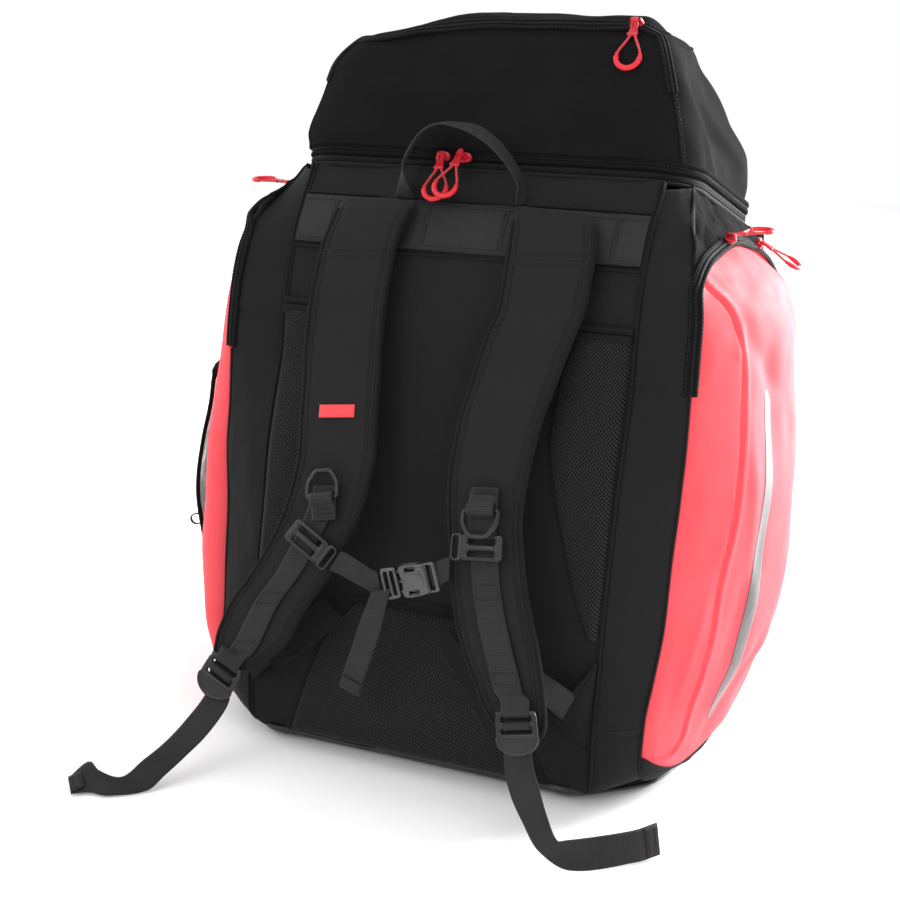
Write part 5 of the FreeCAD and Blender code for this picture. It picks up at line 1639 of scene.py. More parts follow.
def closed_both(mb, G, mi=0):
    n, m = G.shape[:2]
    P = np.concatenate([G, G[:1]], 0)
    U, W = MB._uv(P, True)
    f, ci, cj = MB._grid(n + 1, m, 0, True)
    f = np.where(f >= n * m, f - n * m, f)
    mb.v.append(G.reshape(-1, 3))
    mb.f.append(f + mb.n)
    mb.uv.append(np.stack([W[cj], U[ci]], -1))
    mb.mi.append(np.full(len(f), mi))
    mb.n += n * m
    return mb


# padded hem of the hood: two rolled ridges with a groove between them
hem = [(-3.2, -5.2), (0.6, -5.6), (2.6, -4.4), (3.0, -2.6), (1.9, -1.2), (1.6, 0.2), (2.6, 1.6), (3.2, 3.2), (2.4, 5.2), (0.2, 5.8), (-3.0, 5.2), (-3.6, 0)]
G, cq, oq, axis = ring_band(hem, 12.6, 11, 0.5)
mb = closed_both(MB(), G)
mb.build("hood_hem_band", M["softshell"], "hood", "softshell_black", replaces=("hood_hem",))
stitch_line(thread("hood"), cq + oq * 1.9 - axis * 0.4, oq, pitch=3.4, length=2.4)
# zip tape of the rim, under the hem
tape = [(-2.6, -3.6), (0.2, -3.8), (1.4, -2.6), (0.9, -1.0), (1.2, 0.4), (0.9, 1.8), (0.2, 2.6), (-2.6, 2.6)]
G, cq, oq, axis = ring_band(tape, 3.9, 12, 0.25, 30)
mb = closed_both(MB(), G)
q = np.vstack([cq, cq[:1]])
d = np.r_[0, np.cumsum(np.linalg.norm(np.diff(q, axis=0), axis=1))]
kk = int(d[-1] / 0.7)
qs = np.linspace(0, d[-1], kk, endpoint=False)
cc = np.stack([np.interp(qs, d, q[:, i]) for i in range(3)], 1)
mb.tube(cc + 0, 1.3 + 0.3 * np.abs(np.sin(np.pi * qs / 2.1)), n=8, closed=True, mi=1)
mb.build("rim_zip", [M["zip"], M["coil"]], "bag", "zip_tape", replaces=("rim_zip_tape",))
# seam roll below the tape on the bag
roll = [(-2.6, -1.8), (0.4, -2.0), (1.9, -0.6), (1.8, 1.0), (0.2, 1.8), (-2.6, 1.6)]
G, cq, oq, axis = ring_band(roll, -1.6, 13, 0.4, 24)
closed_both(MB(), G).build("rim_roll", M["black"], "bag", "fabric_black")

HOOD = [(-21.5, 533, 210, 460, 189.5, 50), (-21.0, 545, 212, 476, 188, 50), (-18, 567, 215, 502, 185, 48), (-9, 601, 208, 550, 177, 40),
        (3, 626, 190, 594, 167, 32), (17, 641.5, 168, 622, 157, 26)]
TOPS = [(30, 648.0, 152, 634.5, 146, 22), (52, 651.0, 130, 643, 124, 20), (78, 651.5, 108, 648, 84, 14), (90, 651, 96, 650, 30, 2.9)]
hs = HOOD + TOPS
secs = np.array([section(*h) for h in hs])
nr = 96
key = arr([0, 0.7, 1.9, 3.6, 5.0, 6.0, 6.8, 8.0, 9.6, 11.2])
q = np.concatenate([np.linspace(0, 6.8, 70), np.linspace(6.8, 11.2, 27)[1:]])
H = pchip(key, secs.reshape(len(hs), -1), q).reshape(len(q), -1, 3)
N = gnormals(H, True)
if (N[40] * (H[40] - H[40].mean(0))).sum() < 0:
    N = -N
lev = q[:, None]
ang = np.arange(H.shape[1])
side_f = (H[..., 1] < 40)
e = sstep(0, 0.8, lev)
d = fbm(H * arr([0.9, 1, 1]), 85, 101, 2) * 4.0 * e + fbm(H, 34, 105, 2) * 1.2 * e
# sag of the top panel and droop folds on the flanks
d -= 4.0 * sstep(7.2, 10.5, lev) * (0.6 + 0.4 * vnoise(H, 60, 107))
d += 2.6 * np.exp(-((lev - 4.6) / 1.2) ** 2) * (H[..., 1] < 60)
for a, b, w, dep in (((150, -2, 606), (184, 40, 520), 12, -4.0), ((175, 60, 600), (188, 110, 520), 16, -4.5), ((172, 20, 590), (188, 60, 500), 9, 3.2), ((-150, -8, 600), (-184, 10, 545), 14, -3.0),
                     ((60, -12, 600), (150, -16, 560), 15, 2.0), ((-60, -16, 560), (-160, -8, 600), 16, 1.8), ((-20, 40, 650), (60, 120, 650), 22, -3.2), ((178, 100, 570), (186, 160, 500), 12, 3.0),
                     ((-170, 60, 600), (-188, 110, 520), 16, -3.5), ((0, 215, 520), (60, 190, 590), 18, -3.0), ((-90, 212, 520), (-40, 190, 590), 16, -2.6)):
    d += crease(H, a, b, w, dep)
Hd = H + N * d[..., None]
top_v = Hd[-1].mean(0)
# cap: shrink the last ring to its middle
caps = [Hd[-1] * (1 - k) + top_v * k for k in (0.4, 0.75)]
Hd = np.concatenate([Hd, caps], 0)
x_, y_, z_ = Hd[..., 0].copy(), Hd[..., 1].copy(), Hd[..., 2].copy()
u_, v_, yr_ = np.clip(-x_ / 150, 0, 1), np.clip(x_ / 150, 0, 1.15), sstep(20, 150, y_)
tz_, tx_, lo_ = sstep(578, 650, z_), sstep(520, 620, z_), sstep(505, 520, z_) * (1 - sstep(540, 600, z_))
Hd[..., 2] -= tz_ * (13.2 * sstep(0, 1, u_) + 6.3 * sstep(0.5, 1, u_) + 7.9 * sstep(0.84, 1.05, v_) * (1 - yr_) + 4.0 * sstep(0.2, 1, v_) * yr_ + 10.0 * yr_)
Hd[..., 0] += tx_ * (10.4 * sstep(0.3, 1, u_) - 14.0 * sstep(0.3, 1, v_) * yr_ - 7.9 * sstep(0.84, 1.05, v_) * (1 - yr_))
Hd[..., 0] -= lo_ * 5.0 * sstep(0.6, 1, u_)
Hd[..., 0] -= sstep(512, 548, z_) * (1 - sstep(590, 640, z_)) * 8.0 * sstep(0.6, 1.1, v_) * yr_
yc_ = np.interp(z_, [560, 600, 628, 645], [-17, -8, 6, 26]) + 1.6
w_ = np.exp(-((x_ - 18) / 136) ** 8) * sstep(580, 602, z_) * (1 - sstep(632, 643, z_)) * (y_ < 40)
Hd[..., 1] += w_ * np.maximum(0, yc_ - Hd[..., 1])
Hn = gnormals(Hd, True)
if (Hn[40] * (Hd[40] - Hd[40].mean(0))).sum() < 0:
    Hn = -Hn
Hn[-9:] = (0, 0, 1)
inner = Hd - Hn * 2.4
mb = MB()
n_, m_ = Hd.shape[:2]
base0 = mb.n
mb.shell(Hd, 0, inner=inner, wrap=True, mi_in=1, cap1=False)
# close both middles with fans
mb.v.append(np.array([Hd[-1].mean(0), inner[-1].mean(0)]))
o = n_ * m_
ta = [((n_ - 1) * m_ + j, (n_ - 1) * m_ + (j + 1) % m_, 2 * o) for j in range(m_)]
tb_ = [(o + (n_ - 1) * m_ + (j + 1) % m_, o + (n_ - 1) * m_ + j, 2 * o + 1) for j in range(m_)]
mb.f.append(np.array(ta))
mb.uv.append(np.zeros((m_, 3, 2)))
mb.mi.append(np.zeros(m_, int))
mb.f.append(np.array(tb_))
mb.uv.append(np.zeros((m_, 3, 2)))
mb.mi.append(np.ones(m_, int))
mb.n += 2
hood = mb.build("hood_fabric", [M["softshell"], M["lining"]], "hood", "softshell_black", replaces=("hood_shell",))


def hood_path(idx, lev_, off=0.0):
    """Points on the hood skin: ring index (float) and level (row index float)."""
    m = Hd.shape[1]
    idx, lev_ = arr(idx) % m, arr(lev_)
    i0, j0 = np.floor(lev_).astype(int), np.floor(idx).astype(int)
    fi, fj = (lev_ - i0)[:, None], (idx - j0)[:, None]
    j1 = (j0 + 1) % m

    def g(A):
        return A[i0, j0] * (1 - fi) * (1 - fj) + A[i0 + 1, j0] * fi * (1 - fj) + A[i0, j1] * (1 - fi) * fj + A[i0 + 1, j1] * fi * fj
    n = unit(g(Hn))
    return g(Hd) + n * off, n


# zip of the hood along the front top edge, down both front corners
rowz = int(np.searchsorted(q[:70], 5.9))
mf = Hd.shape[1]
j0, j1 = -(NS[0] // 2 + NS[1] * 0.55), NS[0] // 2 + NS[1] * 0.55
across = np.linspace(j0, j1, 90)
lv = np.full(90, float(rowz))
downs = np.linspace(rowz, rowz * 0.52, 24)
idx = np.concatenate([np.full(23, j0), across, np.full(23, j1)])
lvv = np.concatenate([downs[::-1][:23], lv, downs[1:]])
zc, zn = hood_path(idx, lvv, 0.4)
for _ in range(10):
    zc[1:-1] = (zc[:-2] + 2 * zc[1:-1] + zc[2:]) / 4
    zn[1:-1] = unit(zn[:-2] + 2 * zn[1:-1] + zn[2:])
zcs = curve_pts(zc, 300)
d0 = np.linspace(0, 1, len(zn))
zns = unit(np.stack([np.interp(np.linspace(0, 1, 300), d0, zn[:, i]) for i in range(3)], 1))
zip_run("hood_zip", zcs, zns, np.tile(arr([0, 0.4, 1]), (300, 1)), 11.0, "hood", height=0.9)
# corner and side seams of the hood
mb = MB()
for jj in (NS[0] // 2 + NS[1] * 0.55, -(NS[0] // 2 + NS[1] * 0.55)):
    pth, nn = hood_path(np.full(40, jj), np.linspace(1, rowz * 0.54, 40), -0.2)
    mb.tube(curve_pts(pth, 80), 1.5, n=8)
    stitch_line(thread("hood"), pth + unit(np.cross(np.gradient(pth, axis=0), nn)) * 3.0 + nn * 0.5, nn, pitch=3.4, length=2.3)
for sgn in (1, -1):
    a = sgn * (NS[0] // 2 + NS[1] * 0.6)
    b = sgn * (NS[0] // 2 + NS[1] + NS[2] + NS[1] * 0.4)
    pth, nn = hood_path(np.linspace(a, b, 60), np.full(60, float(rowz + 2)), -0.1)
    mb.tube(curve_pts(pth, 120), 1.6, n=8)
    stitch_line(thread("hood"), pth + nn * 0.4 + arr([0, 0, -3.4]), nn, pitch=3.4, length=2.3)
mb.build("hood_seams", M["softshell"], "hood", "softshell_black")

# ---------------------------------------------------------------------------
# mesh bottle pocket on the left side
# ---------------------------------------------------------------------------
MZ = [(52, 0.15), (80, 0.62), (110, 0.82), (200, 0.95), (318, 1.0)]


def bottle_pt(t, z):
    k = pchip([q[0] for q in MZ], [q[1] for q in MZ], np.clip(z, 52, 318))
    p = skin_pt(z, t)
    out = 3.0 + 8.4 * np.clip(np.sin(np.pi * (t - 0.06) / 0.78), 0, 1) * k
    out = out + 6.5 * np.exp(-((z - 208) / 40.0) ** 2) * np.exp(-((t - 0.14) / 0.16) ** 2)
    p[..., 0] += out
    p[..., 1] -= 12 * np.maximum(0, 0.3 - t)
    return p


NOW["s"] = -1
t = np.linspace(0, 1, 90)
z = np.linspace(54, 316, 110)
Z, TT = np.meshgrid(z, t, indexing="ij")
T0 = pchip([50, 100, 150, 200, 320], [0.30, 0.24, 0.165, 0.12, 0.10], Z)
T = T0 + (0.80 - T0) * TT
P = bottle_pt(T, Z)
N = gnormals(P)
if N[50, 40, 0] < 0:
    N = -N
d = fbm(P, 40, 131, 3) * 1.6 * sstep(0, 0.1, TT) * sstep(0, 0.1, 1 - TT)
d -= 1.4 * np.abs(vnoise(P * arr([1, 1, 0.3]), 16, 137)) * sstep(240, 300, Z)
P = P + N * d[..., None]
G = (P * arr([-1, 1, 1]))[:, ::-1]
mb = MB().shell(G, 0.9)
bottle = mb.build("bottle_pocket_mesh", M["open_mesh"], "bag", "open_mesh", replaces=("mesh_pocket",))
flatw = float(np.linalg.norm(np.diff(P[70], axis=0), axis=1).sum())
flath = float(np.linalg.norm(np.diff(P[:, 45], axis=0), axis=1).sum())
BOTTLE_FLAT = (flatw, flath)
# bound edges of the mesh: elastic hem on top, tape down the sides
mb = MB()
top_c = P[-1] * arr([-1, 1, 1]) + arr([-0.6, 0, 0])
mb.tube(curve_pts(top_c, 200), 2.1, n=12, up=(0, 0, 1), ry=6.0 + 0.5 * np.sin(np.arange(200) * 0.9))
for jj, off in ((0, 0.3), (-1, 0.3)):
    sc = P[:, jj] * arr([-1, 1, 1]) + arr([-0.2, 0, 0])
    mb.tube(curve_pts(sc, 160), 3.4, n=10, up=(-1, 0, 0), ry=1.3)
bc = P[0] * arr([-1, 1, 1])
mb.tube(curve_pts(bc, 120), 1.3, n=10, up=(0, 0, 1), ry=3.2)
mb.build("bottle_pocket_binding", M["binding"], "bag", "fabric_black")
stitch_line(thread("bag"), top_c + arr([-2.3, 0, -3.4]), (-1, 0, 0), pitch=3.2, length=2.2)
stitch_line(thread("bag"), top_c + arr([-2.3, 0, 3.0]), (-1, 0, 0), pitch=3.2, length=2.2)
# small elastic loop on the front edge of the mesh
c0 = P[49, 0] * arr([-1, 1, 1])
lp = arr([(1.0, 0.5, 2), (-4, -2, 2.5), (-8, -3, 0.4), (-9, -3, -3.6), (-6, -2, -7), (-2, -1, -6.4), (1.0, 0.5, -4)]) + c0
lpL, lpR = lp + arr([0, -1.0, 0]) * 1.6, lp + arr([0, 1.0, 0]) * 1.6
mb = MB()
ribbon(mb, lpL, lpR, 1.1, pitch=1.0, amp=0.1, cols=7)
mb.build("bottle_pocket_loop", M["web_fine"], "bag", "webbing")


# ---------------------------------------------------------------------------
# shoulder straps
# ---------------------------------------------------------------------------
STRAP = {
    "left": [((-122, -60, 490), (-48, -60, 492)), ((-128, -87, 451), (-55, -85, 459)), ((-129, -109, 405), (-55, -107, 411)), ((-128, -121, 371), (-54, -118, 378)),
             ((-123, -135, 338), (-50, -131, 345)), ((-118, -151, 306), (-45, -147, 314)), ((-113, -167, 274), (-40, -163, 282)), ((-117, -180, 239), (-43, -177, 249)),
             ((-128, -194, 204), (-54, -189, 214)), ((-142, -204, 176), (-65, -200, 187)), ((-159, -214, 148), (-82, -210, 160)), ((-168, -224, 118), (-99, -222, 124)),
             ((-168, -229, 106), (-118, -228, 106)), ((-163, -230.5, 97), (-129, -230, 95))],
    "right": [((46, -60, 493), (120, -62, 489)), ((50, -86, 452), (128, -84, 457)), ((51, -102, 419), (128, -100, 425)), ((43, -116, 386), (121, -113, 394)),
              ((36, -127, 353), (112, -124, 361)), ((32, -143, 322), (105, -139, 330)), ((31, -158, 291), (102, -154, 299)), ((34, -170, 265), (101, -166, 273)),
              ((39, -180, 240), (103, -177, 248)), ((44, -188, 218), (108, -185, 227)), ((50, -198, 191), (115, -194, 201)), ((58, -207, 168), (124, -203, 178)),
              ((68, -215, 146), (133, -211, 156)), ((80, -221, 125), (140, -218, 134)), ((91, -227, 107), (145, -224, 115)),
              ((102, -229.5, 93), (147, -227, 100)), ((114, -230, 84), (146, -228.5, 90))]}
STRAP_T = 12.0
SGRID = {}


def strap_frame(side, q):
    """Edges, across and outward directions at station q (station units)."""
    st = STRAP[side]
    L, R = arr([a for a, b in st]), arr([b for a, b in st])
    ks = np.arange(len(st))
    l, r = pchip(ks, L, q), pchip(ks, R, q)
    e = 0.02
    qa, qb = np.clip(q - e, 0, len(st) - 1), np.clip(q + e, 0, len(st) - 1)
    T = unit(pchip(ks, (L + R) / 2, qb) - pchip(ks, (L + R) / 2, qa))
    X = unit(r - l)
    N = unit(np.cross(X, T))
    N = np.where(N[:, 1:2] > 0, -N, N)
    return l, r, X, T, N


def on_strap(side, q, s, off=0.0):
    q, s = np.broadcast_arrays(arr(q), arr(s))
    l, r, X, T, N = strap_frame(side, q)
    e = np.abs(2 * s - 1)
    crown = 1.3 * (1 - e ** 2)
    return l * (1 - s[:, None]) + r * s[:, None] + N * (crown + off)[:, None], N, T, X


for side in ("left", "right"):
    st = STRAP[side]
    nq = 230
    q = np.linspace(0.0, len(st) - 1.0, nq)
    l, r, X, T, N = strap_frame(side, q)
    for _ in range(8):
        N[1:-1] = unit((N[:-2] + 2 * N[1:-1] + N[2:]) / 4)
    c = (l + r) / 2 - N * (STRAP_T / 2)
    w = np.linalg.norm(r - l, axis=1) / 2
    d = np.r_[0, np.cumsum(np.linalg.norm(np.diff(c, axis=0), axis=1))]
    m = 84
    th = np.linspace(0, 2 * np.pi, m, endpoint=False)
    # superellipse section with a bound edge
    cs, sn = np.cos(th), np.sin(th)
    hx = np.sign(cs) * np.abs(cs) ** 0.30
    hz = np.sign(sn) * np.abs(sn) ** 0.62
    edge = np.abs(hx)
    thick = STRAP_T / 2 - 0.3
    taper = np.minimum(1, 0.35 + 0.65 * sstep(0, 14, d[-1] - d))
    ztop = 0.55 + 0.45 * sstep(0, 10, d)
    prof_z = hz[None] * (thick * taper * ztop)[:, None] * (1 - 0.16 * edge[None] ** 6)
    P = c[:, None] + X[:, None] * (hx[None, :, None] * (w[:, None, None] - 0.4)) + N[:, None] * prof_z[..., None]
    outm = np.broadcast_to(sn[None] > 0, P.shape[:2])
    # piped groove 7 mm in from each edge and a cross seam
    dist = (1 - edge)[None] * w[:, None]
    disp = -1.5 * np.exp(-((dist - 7.2) / 1.3) ** 2) + 0.5 * np.exp(-((dist - 3.4) / 2.0) ** 2)
    live = sstep(3, 12, d)[:, None] * sstep(3, 12, d[-1] - d)[:, None]
    disp = disp * live
    seams = (1.05, 1.55) if side == "left" else (0.96, 1.52)
    for sq in seams[:1]:
        ds = np.interp(sq, q, d)
        disp -= 1.2 * np.exp(-((d[:, None] - ds) / 1.2) ** 2) * sstep(0, 4, dist)
        disp += 0.5 * np.exp(-((d[:, None] - ds - 4.5) / 2.2) ** 2) * sstep(0, 4, dist)
    disp += (fbm(P, 36, 151, 3) * 0.75 + 0.4 * np.sin(d / 23.0)[:, None]) * sstep(0, 8, dist) * live
    for qq, ww, dd in ((2.2, 7, -1.1), (3.6, 9, -1.0), (5.3, 8, -1.3), (7.4, 7, -1.0), (9.0, 9, -1.3)):
        if qq < q[-1] - 1:
            ds = np.interp(qq, q, d)
            disp += dd * np.exp(-((d[:, None] - ds - 5 * hx[None]) / ww) ** 2) * sstep(2, 14, dist) * 0.7
    P = P + N[:, None] * (disp * np.sign(hz)[None] * (0.35 + 0.65 * outm))[..., None]
    ends = []
    for i, sg in ((0, -1), (nq - 1, 1)):
        ce = c[i]
        rings = [P[i] * 1.0]
        for a in (0.5, 0.85, 0.98):
            e_ = math.sqrt(1 - a * a)
            rings.append(ce + T[i] * sg * a * thick * 0.5 + (P[i] - ce) * (0.86 + 0.14 * e_) * arr([1, 1, 1]) - N[i] * ((P[i] - ce) @ N[i])[:, None] * (1 - e_) * 0.9)
        ends.append(rings[1:])
    P2 = np.concatenate([np.array(ends[0])[::-1], P, np.array(ends[1])], 0)
    mb = MB()
    n_, m_ = P2.shape[:2]
    U, W = MB._uv(P2, True)
    f, ci, cj = MB._grid(n_, m_, 0, True)
    mb.v.append(P2.reshape(-1, 3))
    mb.f.append(f)
    mb.uv.append(np.stack([W[cj], U[ci]], -1))
    mb.mi.append(np.zeros(len(f), int))
    # end caps as strips across the section (the ring is symmetric in th)
    for row in (0, n_ - 1):
        o = row * m_
        cap = []
        for k in range(m_ // 2 - 1):
            a_, b_ = 1 + k, 2 + k
            if b_ > m_ // 2:
                break
            cap.append((o + a_, o + b_, o + (m_ - b_) % m_, o + (m_ - a_) % m_) if b_ < m_ // 2 else (o + a_, o + b_, o + (m_ - a_) % m_, o + (m_ - a_) % m_))
        quads_ = [c_ for c_ in cap if len(set(c_)) == 4]
        mb.f.append(np.array(quads_))
        mb.uv.append(np.zeros((len(quads_), 4, 2)))
        mb.mi.append(np.zeros(len(quads_), int))
        tris = [(o, o + 1, o + m_ - 1), (o + m_ // 2 - 1, o + m_ // 2, o + m_ // 2 + 1)]
        mb.f.append(np.array(tris))
        mb.uv.append(np.zeros((2, 3, 2)))
        mb.mi.append(np.zeros(2, int))
    mb.n = n_ * m_
    ob = mb.build("strap_pad_" + side, M["strap"], "bag", "strap_fabric", replaces=("shoulder_strap_" + side,))
    # rolled binding down both edges
    mb = MB()
    for e_, edge_pts in ((-1, l), (1, r)):
        sel = slice(4, nq - 3)
        pc = edge_pts[sel] - N[sel] * 3.4 - X[sel] * (e_ * 1.2)
        mb.tube(curve_pts(pc, 260), 2.2, n=12, up=N[len(N) // 2], ry=3.2)
    mb.build("strap_binding_" + side, M["binding"], "bag", "strap_fabric")
    tb = thread("bag")
    for s_ in (0.0, 1.0):
        qq = np.linspace(0.35, len(st) - 1.35, 150)
        ww = np.interp(qq, q, w) * 2
        sp_ = np.clip(7.2 / ww, 0, 1) if s_ == 0 else 1 - np.clip(7.2 / ww, 0, 1)
        pth, nn, _, _ = on_strap(side, qq, sp_, -1.1)
        stitch_line(tb, pth, nn, pitch=3.4, length=2.4)
    for sq in seams[:1]:
        ss = np.linspace(0.1, 0.9, 20)
        pth, nn, _, _ = on_strap(side, np.full(20, sq + 0.06), ss, 0.5)
        stitch_line(tb, pth, nn, pitch=3.2, length=2.3)
        pth, nn, _, _ = on_strap(side, np.full(20, sq + 0.16), ss, 0.5)
        stitch_line(tb, pth, nn, pitch=3.2, length=2.3)

# plain sewn patch on the left strap
qa = np.linspace(4.62, 4.94, 14)
ss = np.linspace(0.27, 0.73, 30)
Q, S = np.meshgrid(qa, ss, indexing="ij")
pp, nn, _, _ = on_strap("left", Q.ravel(), S.ravel(), 0.9)
G = pp.reshape(14, 30, 3)
gn = nn.reshape(14, 30, 3)
u_ = np.minimum(np.minimum(Q - 4.62, 4.94 - Q) * 34, np.minimum(S - 0.27, 0.73 - S) * 74)
G = G - gn * (0.5 * np.exp(-(u_ / 0.8)) )[..., None]
mb = MB().shell(G, 0, inner=G - gn * 1.4)
mb.build("strap_patch", M["patch"], "bag", "fabric_red")

# ---------------------------------------------------------------------------
# webbing and hardware on the straps
# ---------------------------------------------------------------------------
LOCK = {"left": Fr((-157, -237.8, 87), (0.90, -0.06, -0.42), (0.36, 0.36, 0.86)), "right": Fr((127.5, -237.0, 93.5), (0.98, 0.08, 0.20), (-0.26, 0.30, 0.92))}
RAIL = {"left": (6.6, 11.7), "right": (6.9, 13.4)}
for side in ("left", "right"):
    a, b = RAIL[side]
    q = np.linspace(a, b, 60)
    l, r, X, T, N = strap_frame(side, q)
    for _ in range(6):
        N[1:-1] = unit((N[:-2] + 2 * N[1:-1] + N[2:]) / 4)
    c = (l + r) / 2 + N * 2.9
    mb = MB()
    # over the end of the pad and round the top bar of the lock
    fl = LOCK[side]
    run = fl(arr([(0, 27, 2.6), (0, 21.5, 3.2), (0, 18.4, 3.6), (0, 15.6, 3.9), (0, 13.2, 2.4), (0, 12.8, -0.6), (0, 14.6, -3.2)]))
    wl, wr = c - X * 12.5, c + X * 12.5
    wl, wr = np.vstack([wl, run - fl.x * 12.3]), np.vstack([wr, run + fl.x * 12.3])
    ribbon(mb, wl, wr, 1.7, toward=-N[30], amp=0.2, cols=13)
    ob = mb.build("strap_rail_" + side, M["web"], "bag", "webbing", replaces=("strap_rails",))
    tb = thread("bag")
    for q0 in ((a + 0.25, a + 0.75), (a + 3.0, a + 3.4), (b - 0.7, b - 0.2)):
        for fx in (-9.6, 9.6):
            qq = np.linspace(q0[0], q0[1], 12)
            cc = np.stack([np.interp(qq, q, c[:, i]) for i in range(3)], 1)
            xx_ = np.stack([np.interp(qq, q, X[:, i]) for i in range(3)], 1)
            n2 = np.stack([np.interp(qq, q, N[:, i]) for i in range(3)], 1)
            stitch_line(tb, cc + xx_ * fx + n2 * 0.35, n2, pitch=2.5, length=1.9, r=0.42)
        for qe in q0:
            i = int(np.argmin(np.abs(q - qe)))
            ln = np.linspace(-9.6, 9.6, 12)
            stitch_line(tb, c[i] + X[i] * ln[:, None] + N[i] * 0.35, N[i], pitch=2.5, length=1.9, r=0.42)

RING = {"left": (Fr((-77, -180.5, 249), (0.9796, -0.0200, 0.1999), (-0.1728, 0.4234, 0.8893), (-0.1024, -0.9057, 0.4113)), 1, "d_ring_left"),
        "right": (Fr((71, -178, 257), (0.9946, 0.0502, 0.0904), (-0.1033, 0.4407, 0.8917), (0.0049, -0.8962, 0.4435)), -1, "d_ring_right")}
for side, (fr0, sg, body) in RING.items():
    fr = fr0.shift((0, 0, 5.2))
    if side == "right":
        a = math.radians(168)
        rfr = Fr(fr.o, fr.x, fr.y * math.cos(a) + fr.z * math.sin(a))
    else:
        rfr = fr
    outline = []
    for (x_, y_) in ((-15, 0), (-15, 12), (-7.5, 23), (7.5, 23), (15, 12), (15, 0)):
        outline.append((x_, y_, 0))
    dense = []
    rad = 3.6
    pts = arr(outline)
    k = len(pts)
    for i in range(k):
        p0, p1, p2 = pts[i - 1], pts[i], pts[(i + 1) % k]
        u1, u2 = unit(p0 - p1), unit(p2 - p1)
        a_, b_ = p1 + u1 * rad, p1 + u2 * rad
        for t_ in np.linspace(0, 1, 7):
            dense.append(a_ * (1 - t_) ** 2 + 2 * p1 * t_ * (1 - t_) + b_ * t_ ** 2)
    mb = MB().tube(rfr(arr(dense)), 2.0, n=16, closed=True, up=rfr.z)
    mb.build("ring_" + side, M["hard"], body, "hardware", replaces=(body,))
    # webbing loop round the bar
    n = 30
    th = np.linspace(-0.5 * np.pi, 0.62 * np.pi, n) if sg > 0 else np.linspace(-0.5 * np.pi, 0.5 * np.pi, n)
    ro = 4.1
    sgy = -1.0 if side == "left" else 1.0
    arc = np.stack([np.zeros(n), -sgy * ro * np.cos(th), ro * np.sin(th)], 1)
    tail = arr([(0, sgy * 20, -4.0), (0, sgy * 14, -4.0), (0, sgy * 7, -4.1), (0, sgy * 3, -4.1)])
    back = arr([(0, sgy * 2.0, 4.1), (0, sgy * 5.0, 2.4), (0, sgy * 8.0, -0.6), (0, sgy * 13.0, -2.0)])
    line_ = np.vstack([tail, arc, back])
    L3, R3 = line_ + arr([-12, 0, 0]), line_ + arr([12, 0, 0])
    mb = MB()
    ribbon(mb, fr(L3), fr(R3), 1.4, toward=None, amp=0.18, cols=11)
    mb.build("ring_loop_" + side, M["web"], "bag", "webbing", replaces=("d_ring_loops",))
    tb = thread("bag")
    for yy in (11.0, 15.0, 18.0):
        ln = np.linspace(-10, 10, 14)
        stitch_line(tb, fr(np.stack([ln, np.full(14, sgy * yy), np.full(14, -0.2 if yy < 14 else -2.2)], 1)), fr.z, pitch=2.4, length=1.8, r=0.42)

SL = {"left": Fr((-86, -196, 213), (0.85, -0.05, -0.52), (0.48, 0.36, 0.80)), "right": Fr((76, -189.5, 229), (0.99, 0.02, 0.10), (-0.10, 0.40, 0.91))}
for side, fr0 in SL.items():
    fr = fr0.shift((0, 0, 3.6))
    sg = 1 if side == "left" else -1
    mb = MB()
    add_plate(mb, [rr(37, 22, 3.5), rr(24, 5.2, 1.2, 0, 5.2), rr(24, 5.2, 1.2, 0, -5.2)], 4.0, 1.1, fr, z0=-2.0)
    # raised rim and cross rib
    add_plate(mb, [rr(33, 18.6, 2.6), rr(30.4, 16.0, 1.8)], 0.9, 0.35, fr, z0=1.5)
    mb.rbox((23.5, 3.2, 1.3), 0.55, fr, (0, 0, 2.1))
    for sx_ in (-1, 1):
        mb.rbox((2.4, 13, 1.4), 0.6, fr, (sx_ * 14.6, 0, 2.0))
    lo, hi = (17.5, 28) if sg > 0 else (-28, -17.5)
    add_plate(mb, [rr(hi - lo, 23, 3.4, (lo + hi) / 2, 0), rr(4.4, 19.0, 1.6, sg * 23.6, 0)], 3.0, 1.0, fr, z0=-1.5)
    mb.build("sternum_slider_" + side, M["hard"], "bag", "hardware", sharp=50, replaces=("sternum_sliders",))

BKF = Fr((8, -208, 195), (0.9604, 0.1000, 0.2601), (-0.2659, 0.0490, 0.9628), (0.0836, -0.9938, 0.0736))
mb = MB()
# socket: shaped shell with side windows, a raised face and a web bar
sock = [(2.2, -10.6), (3.4, -13.2), (6.5, -14.0), (20, -13.6), (24.8, -11.8), (26, -9.0), (26, 9.0), (24.8, 11.8), (20, 13.6), (6.5, 14.0), (3.4, 13.2), (2.2, 10.6), (3.0, 4.0), (3.6, 0), (3.0, -4.0)]
sock = [tuple(p) for p in curve_pts(arr([(a, b, 0) for a, b in sock]), 90, closed=True)[:, :2]]
win = [rr(9, 3.2, 1.2, 12.6, s_ * 10.2) for s_ in (-1, 1)]
add_plate(mb, [sock] + win, 3.6, 1.3, BKF, z0=1.4)
add_plate(mb, [sock] + win, 3.6, 1.3, BKF, z0=-5.0)
face = [tuple(p) for p in curve_pts(arr([(6, -7.5, 0), (14, -8, 0), (21, -6.4, 0), (23.4, 0, 0), (21, 6.4, 0), (14, 8, 0), (6, 7.5, 0), (5.2, 0, 0)]), 60, closed=True)[:, :2]]
add_plate(mb, [face], 1.5, 0.7, BKF, z0=4.3)
for s_ in (-1, 1):
    mb.rbox((20, 2.6, 7.0), 1.1, BKF, (15.5, s_ * 12.0, 0))
mb.rbox((7, 24, 7.6), 1.6, BKF, (23.4, 0, 0))
